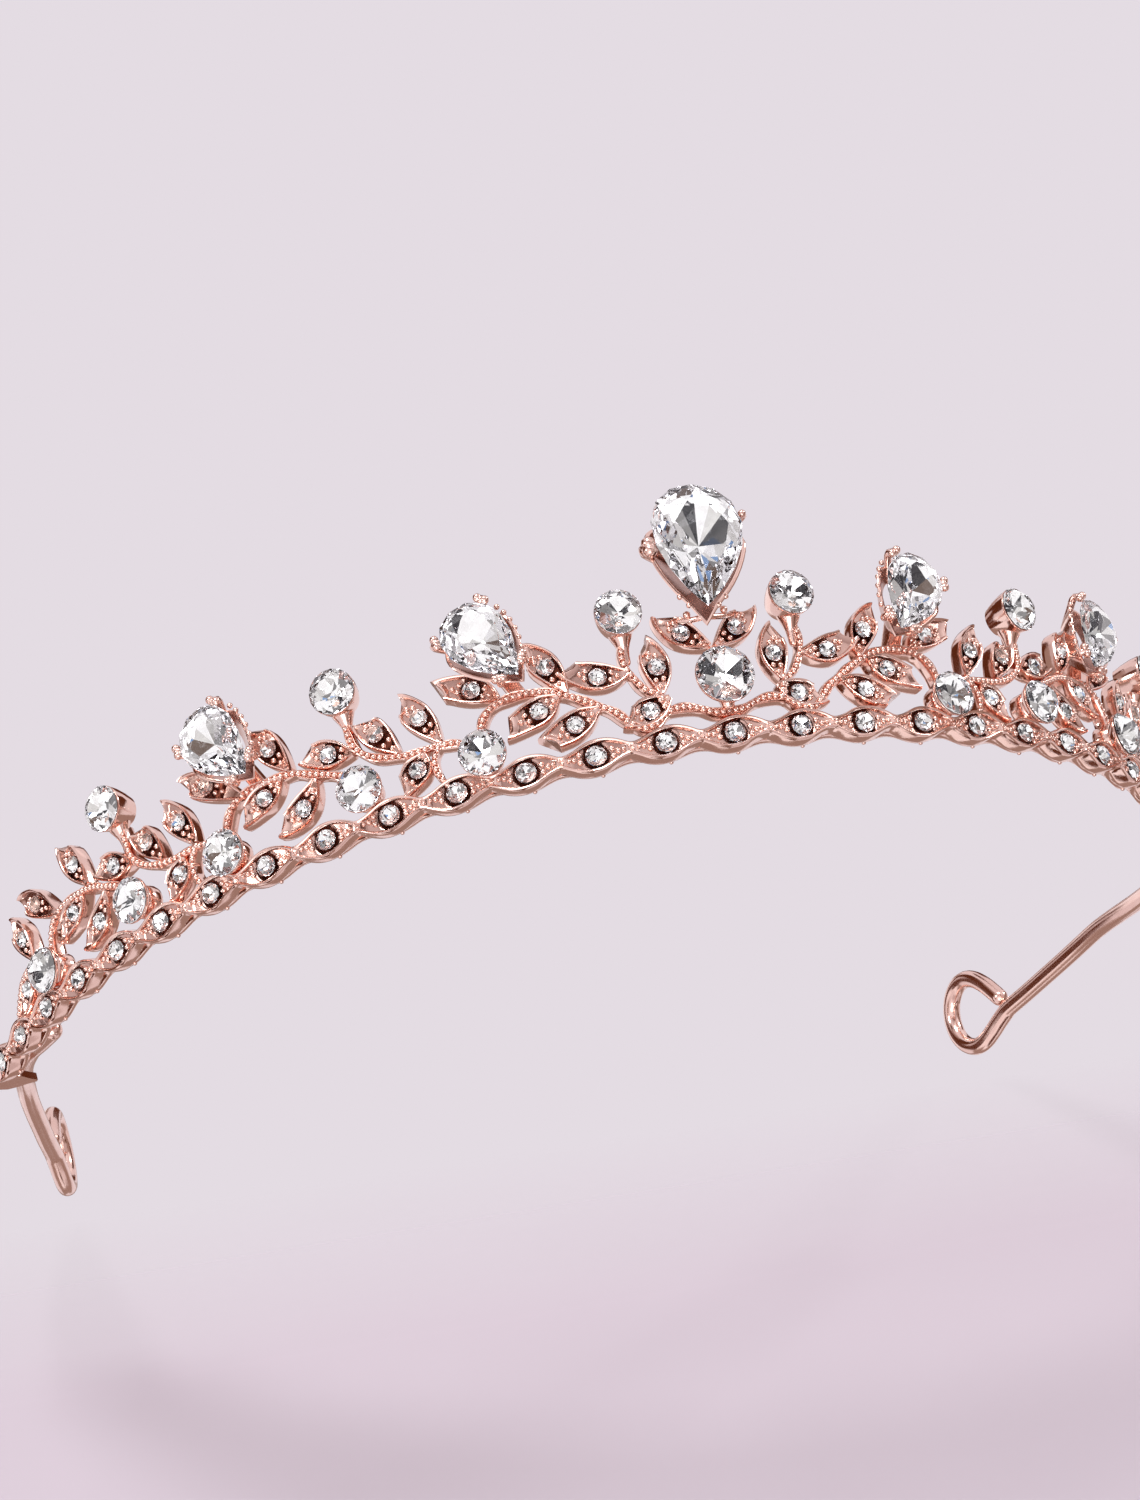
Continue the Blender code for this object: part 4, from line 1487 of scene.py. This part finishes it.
# Seen from above, in mm from the ellipse's centre; then the eye, along and up.
PLAN_AFTER_BAND = (
    (72.5, -11.5), (72.2, -5.8), (71.5, 0.0), (70.8, 5.0), (69.9, 10.0),
    (68.9, 15.0), (67.9, 20.0), (66.8, 25.0), (65.7, 30.0),
)
EYE = (
    (-4, 3.6), (-1.6, 3.1), (0.8, 2.5), (3.2, 2.1), (5.6, 2.4), (7.8, 3.7), (9.2, 5.8),
    (9.4, 8.3), (8.3, 10.5), (6.2, 11.8), (3.8, 11.9), (1.5, 10.9), (-0.6, 9.1), (-2.0, 7.5),
    (-3.2, 6.0),
)


def wire_line(side):
    """The wire's centre line in metres: behind the casting, then free, then the eye."""
    plan = []
    for step in range(3):
        spot, heading, outward = head_frame(WIRE_START + 4 * step)
        plan.append(spot - outward * WIRE_INSET)
    plan += [Vector((x, y, 0.0)) for x, y in PLAN_AFTER_BAND]
    line, run = [], 0.0
    for before, after in zip(plan[:-1], plan[1:]):
        lift = WIRE_RISE * ease((run + RISE_BEFORE) / RISE_LENGTH)
        line.append(before + Vector((0.0, 0.0, lift)))
        run += (after - before).length
    heading = (plan[-1] - plan[-2]).normalized()
    for along, height in EYE:
        spot = plan[-1] + heading * along
        line.append(Vector((spot.x, spot.y, height)))
    line = smooth_path(line, 0.5)
    return [(Vector((side * p.x, p.y, p.z)) + HEAD_CENTRE) * MM for p in line]


for side, word in ((-1, "left"), (1, "right")):
    wire = grow(
        "bent_wire_" + word,
        lines("wire_line_" + word, [wire_line(side)]),
        wire_tree,
        radius=WIRE_RADIUS * MM,
        sides=20,
        finish=DRAWN_WIRE,
    )
    fit_to_frame(wire, "rose_gold_plating", "side_wire_" + word)

# %% [markdown]
# ## The room
# A polished metal and a foiled stone show the room more than themselves. The room is
# a plain pale studio of large even panes, most of them nearly white and a few dark
# brown, so that rims get light edges and hollows stay warm. Light that has passed
# through a stone sees a second room with more greys and a little blue, which gives
# the facets their contrast. The eye itself sees one even pale backdrop.

# %% World
STUDIO_UP = Vector((0.0, -0.778, 0.629)).normalized()  # up in the studio
world = bpy.data.worlds.new("studio")
bpy.context.scene.world = world
world.use_nodes = True
tree = world.node_tree
tree.nodes.clear()
way = add(tree, "ShaderNodeTexCoord").outputs["Generated"]
rise = add(tree, "ShaderNodeVectorMath", {0: way, 1: STUDIO_UP}, operation="DOT_PRODUCT")
zenith = add(
    tree,
    "ShaderNodeMapRange",
    {
        "Value": rise.outputs["Value"],
        "From Min": -0.4,
        "From Max": 0.8,
        "To Min": 0.76,
        "To Max": 0.75,
    },
)


def paned_room(shift, scale, tones):
    """The colour of a room of even panes: each pane has one tone from the table."""
    shifted = add(tree, "ShaderNodeVectorMath", {0: way, 1: shift}, operation="ADD")
    panes = add(
        tree,
        "ShaderNodeTexVoronoi",
        {"Vector": shifted.outputs[0], "Scale": scale},
        feature="F1",
    )
    chance = add(tree, "ShaderNodeSeparateColor", {0: panes.outputs["Color"]})
    steps = add(tree, "ShaderNodeValToRGB", {0: chance.outputs[0]})
    ramp = steps.color_ramp
    ramp.interpolation = "CONSTANT"
    for spot, tone in tones:
        stop = ramp.elements.new(spot) if spot else ramp.elements[0]
        stop.color = linear(tone)
    return steps


METAL_TONES = (
    (0.0, "#5A2E1A"), (0.14, "#A08880"), (0.3, "#CCBDBF"), (0.5, "#E9DFE4"), (0.74, "#FFF8FC")
)
GLINT_TONES = (
    (0.0, "#202125"), (0.1, "#6A5A50"), (0.15, "#7F9DC4"), (0.2, "#7E7C7A"), (0.33, "#B0ADA8"),
    (0.48, "#D8D5D0"), (0.66, "#F6F4F1"),
)
ROOM_LIGHT, GLINT_LIGHT = 1.42, 1.5
steps = paned_room((3.0, 1.0, 2.0), 2.4, METAL_TONES)
light = add(tree, "ShaderNodeMath", {0: zenith.outputs[0], 1: ROOM_LIGHT}, operation="MULTIPLY")
studio = add(
    tree, "ShaderNodeBackground", {"Color": steps.outputs[0], "Strength": light.outputs[0]}
)
glints = paned_room((14.2, 2.5, 7.7), 2.0, GLINT_TONES)
glint_room = add(
    tree, "ShaderNodeBackground", {"Color": glints.outputs[0], "Strength": GLINT_LIGHT}
)
paths = add(tree, "ShaderNodeLightPath").outputs
studio = add(
    tree,
    "ShaderNodeMixShader",
    {0: paths["Is Transmission Ray"], 1: studio.outputs[0], 2: glint_room.outputs[0]},
)
seen = add(tree, "ShaderNodeBackground", {"Color": linear("#E4DCE3"), "Strength": 1.0})
both = add(
    tree,
    "ShaderNodeMixShader",
    {0: paths["Is Camera Ray"], 1: studio.outputs[0], 2: seen.outputs[0]},
)
add(tree, "ShaderNodeOutputWorld", {"Surface": both.outputs[0]})

# %% [markdown]
# ## Soft lights
# Four square area lights make the soft highlights: one overhead, one at each side,
# and a weak one from below that stands for light thrown back by a pale table.


# %% Soft lights
def soft_light(name, where, size, power):
    """A square area light in metres that looks at the middle of the tiara."""
    data = bpy.data.lights.new(name, "AREA")
    data.size, data.energy = size, power
    lamp = bpy.data.objects.new(name, data)
    bpy.context.scene.collection.objects.link(lamp)
    lamp.location = where
    aim = Vector((0.0, -0.02, 0.01)) - Vector(where)
    lamp.rotation_euler = aim.to_track_quat("-Z", "Y").to_euler()


# Place and size in metres, power in watts.
LIGHTS = (
    ("overhead_softbox", (-0.3, -0.9, 1.0), 0.45, 9.0),
    ("left_softbox", (-1.2, -0.5, 0.25), 0.3, 3.0),
    ("right_strip", (1.0, -0.5, 0.6), 0.2, 2.5),
    ("table_bounce", (-0.35, -0.75, -0.75), 0.7, 3.5),
)
for light_row in LIGHTS:
    soft_light(*light_row)
print("lights:", len(LIGHTS))

# %% [markdown]
# ## Floor and table
# The tiara is tilted up in the studio, so a level floor would cut across the view.
# One plain board lies under the tiara and is seen from above. A second one is tilted
# with the studio and stands in for the table in the view from below. Both fade out
# with distance, so neither has a hard far edge.


# %% Floor
NEAR, FAR = 0.2, 0.8  # metres from the middle: where the fade starts and ends
PAINT, PAINT_PATCH = "#C6BEC7", "#C1B9C2"


def floor_finish(name, fade_low, fade_high):
    """Plain pale painted board, seen only by the eye and only from its upper side.

    It fades out between two heights, as well as with distance.
    """
    finish, tree = new_finish(name)
    where = add(tree, "ShaderNodeTexCoord").outputs["Object"]
    cloud = add(tree, "ShaderNodeTexNoise", {"Vector": where, "Scale": 6.0, "Detail": 3.0})
    paint = add(
        tree,
        "ShaderNodeMix",
        {0: cloud.outputs["Fac"], 6: linear(PAINT), 7: linear(PAINT_PATCH)},
        data_type="RGBA",
    )
    board = add(tree, "ShaderNodeBsdfDiffuse", {"Color": paint.outputs[2]})
    under = add(tree, "ShaderNodeNewGeometry").outputs["Backfacing"]
    eye = add(tree, "ShaderNodeLightPath").outputs["Is Camera Ray"]
    split = add(tree, "ShaderNodeSeparateXYZ", {0: where})
    fade = add(
        tree,
        "ShaderNodeMapRange",
        {
            "Value": split.outputs["Z"],
            "From Min": fade_low,
            "From Max": fade_high,
            "To Min": 1.0,
            "To Max": 0.0,
        },
    )
    reach = add(tree, "ShaderNodeVectorMath", {0: where}, operation="LENGTH").outputs["Value"]
    near = add(
        tree,
        "ShaderNodeMapRange",
        {"Value": reach, "From Min": NEAR, "From Max": FAR, "To Min": 1.0, "To Max": 0.0},
        interpolation_type="SMOOTHSTEP",
    )
    shown = add(tree, "ShaderNodeMath", {0: 1.0, 1: under}, operation="SUBTRACT")
    for share in (eye, fade.outputs[0], near.outputs[0]):
        shown = add(tree, "ShaderNodeMath", {0: shown.outputs[0], 1: share}, operation="MULTIPLY")
    clear = add(tree, "ShaderNodeBsdfTransparent")
    mixed = add(
        tree, "ShaderNodeMixShader", {0: shown.outputs[0], 1: clear.outputs[0], 2: board.outputs[0]}
    )
    add(tree, "ShaderNodeOutputMaterial", {"Surface": mixed.outputs[0]})
    return finish


def board(name, corners, finish):
    """A flat board of the stage."""
    mesh = bpy.data.meshes.new(name)
    mesh.from_pydata(corners, [], [(0, 1, 2, 3)])
    mesh.materials.append(finish)
    piece = bpy.data.objects.new(name, mesh)
    bpy.context.scene.collection.objects.link(piece)


def table_point(x, z):
    """The point of the tilted table at that x and z."""
    return (x, (TABLE_OFFSET - STUDIO_UP.z * z) / STUDIO_UP.y, z)


FLOOR_HALF, FLOOR_TOP = 3, -0.0001
FLOOR = floor_finish("pale_board_floor", 1.0, 2.0)
board(
    "floor",
    [(x * FLOOR_HALF, y * FLOOR_HALF, FLOOR_TOP) for x, y in ((-1, -1), (1, -1), (1, 1), (-1, 1))],
    FLOOR,
)
TABLE_OFFSET, TABLE_HALF, TABLE_LOW, TABLE_HIGH = -0.0483, 1.5, -1.2, -0.0002
TABLE = floor_finish("pale_board_table", -0.03, 0.0)
TABLE_CORNERS = [
    (x * TABLE_HALF, z) for x, z in ((-1, TABLE_LOW), (1, TABLE_LOW), (1, TABLE_HIGH), (-1, TABLE_HIGH))
]
board("table", [table_point(x, z) for x, z in TABLE_CORNERS], TABLE)
print("stage:", FLOOR.name, TABLE.name)

# %% [markdown]
# ## Camera
# A long lens from the front, a little to the left and well below the band, so that
# the tiara arches over the picture. The three axes are the camera's right, down and
# forward in the frame, and its place is measured from the ellipse's centre in mm.

# %% Camera
LENS, SENSOR = 85.1, 36.0
CAMERA_PLACE = Vector((-117.26, -408.97, -154.94))
camera_data = bpy.data.cameras.new("camera")
camera_data.lens, camera_data.sensor_width = LENS, SENSOR
camera = bpy.data.objects.new("camera", camera_data)
bpy.context.scene.collection.objects.link(camera)
RIGHT = Vector((0.95693, -0.18228, -0.22597))
DOWN = Vector((-0.12138, 0.45588, -0.88173))
FORWARD = Vector((0.26374, 0.87118, 0.41412))
turned = Matrix((RIGHT, -DOWN, -FORWARD)).transposed().to_4x4()
turned.translation = (CAMERA_PLACE + HEAD_CENTRE) * MM
camera.matrix_world = turned
bpy.context.scene.camera = camera
bpy.context.scene.view_settings.view_transform = "Standard"
# Light goes to and fro between facets and foil more than the usual four times, and
# stones turn black where it is cut short.
bpy.context.scene.cycles.glossy_bounces = 12
print("camera:", [round(v, 3) for v in camera.matrix_world.translation])

# %% [markdown]
# ## Triangles
# The last lines count the triangles of the meshes that are shown and print the sum.

# %% Triangles
shown = [
    o.data for o in bpy.data.objects if o.type == "MESH" and o.data.polygons and not o.hide_render
]
print("triangles:", sum(len(p.vertices) - 2 for mesh in shown for p in mesh.polygons))
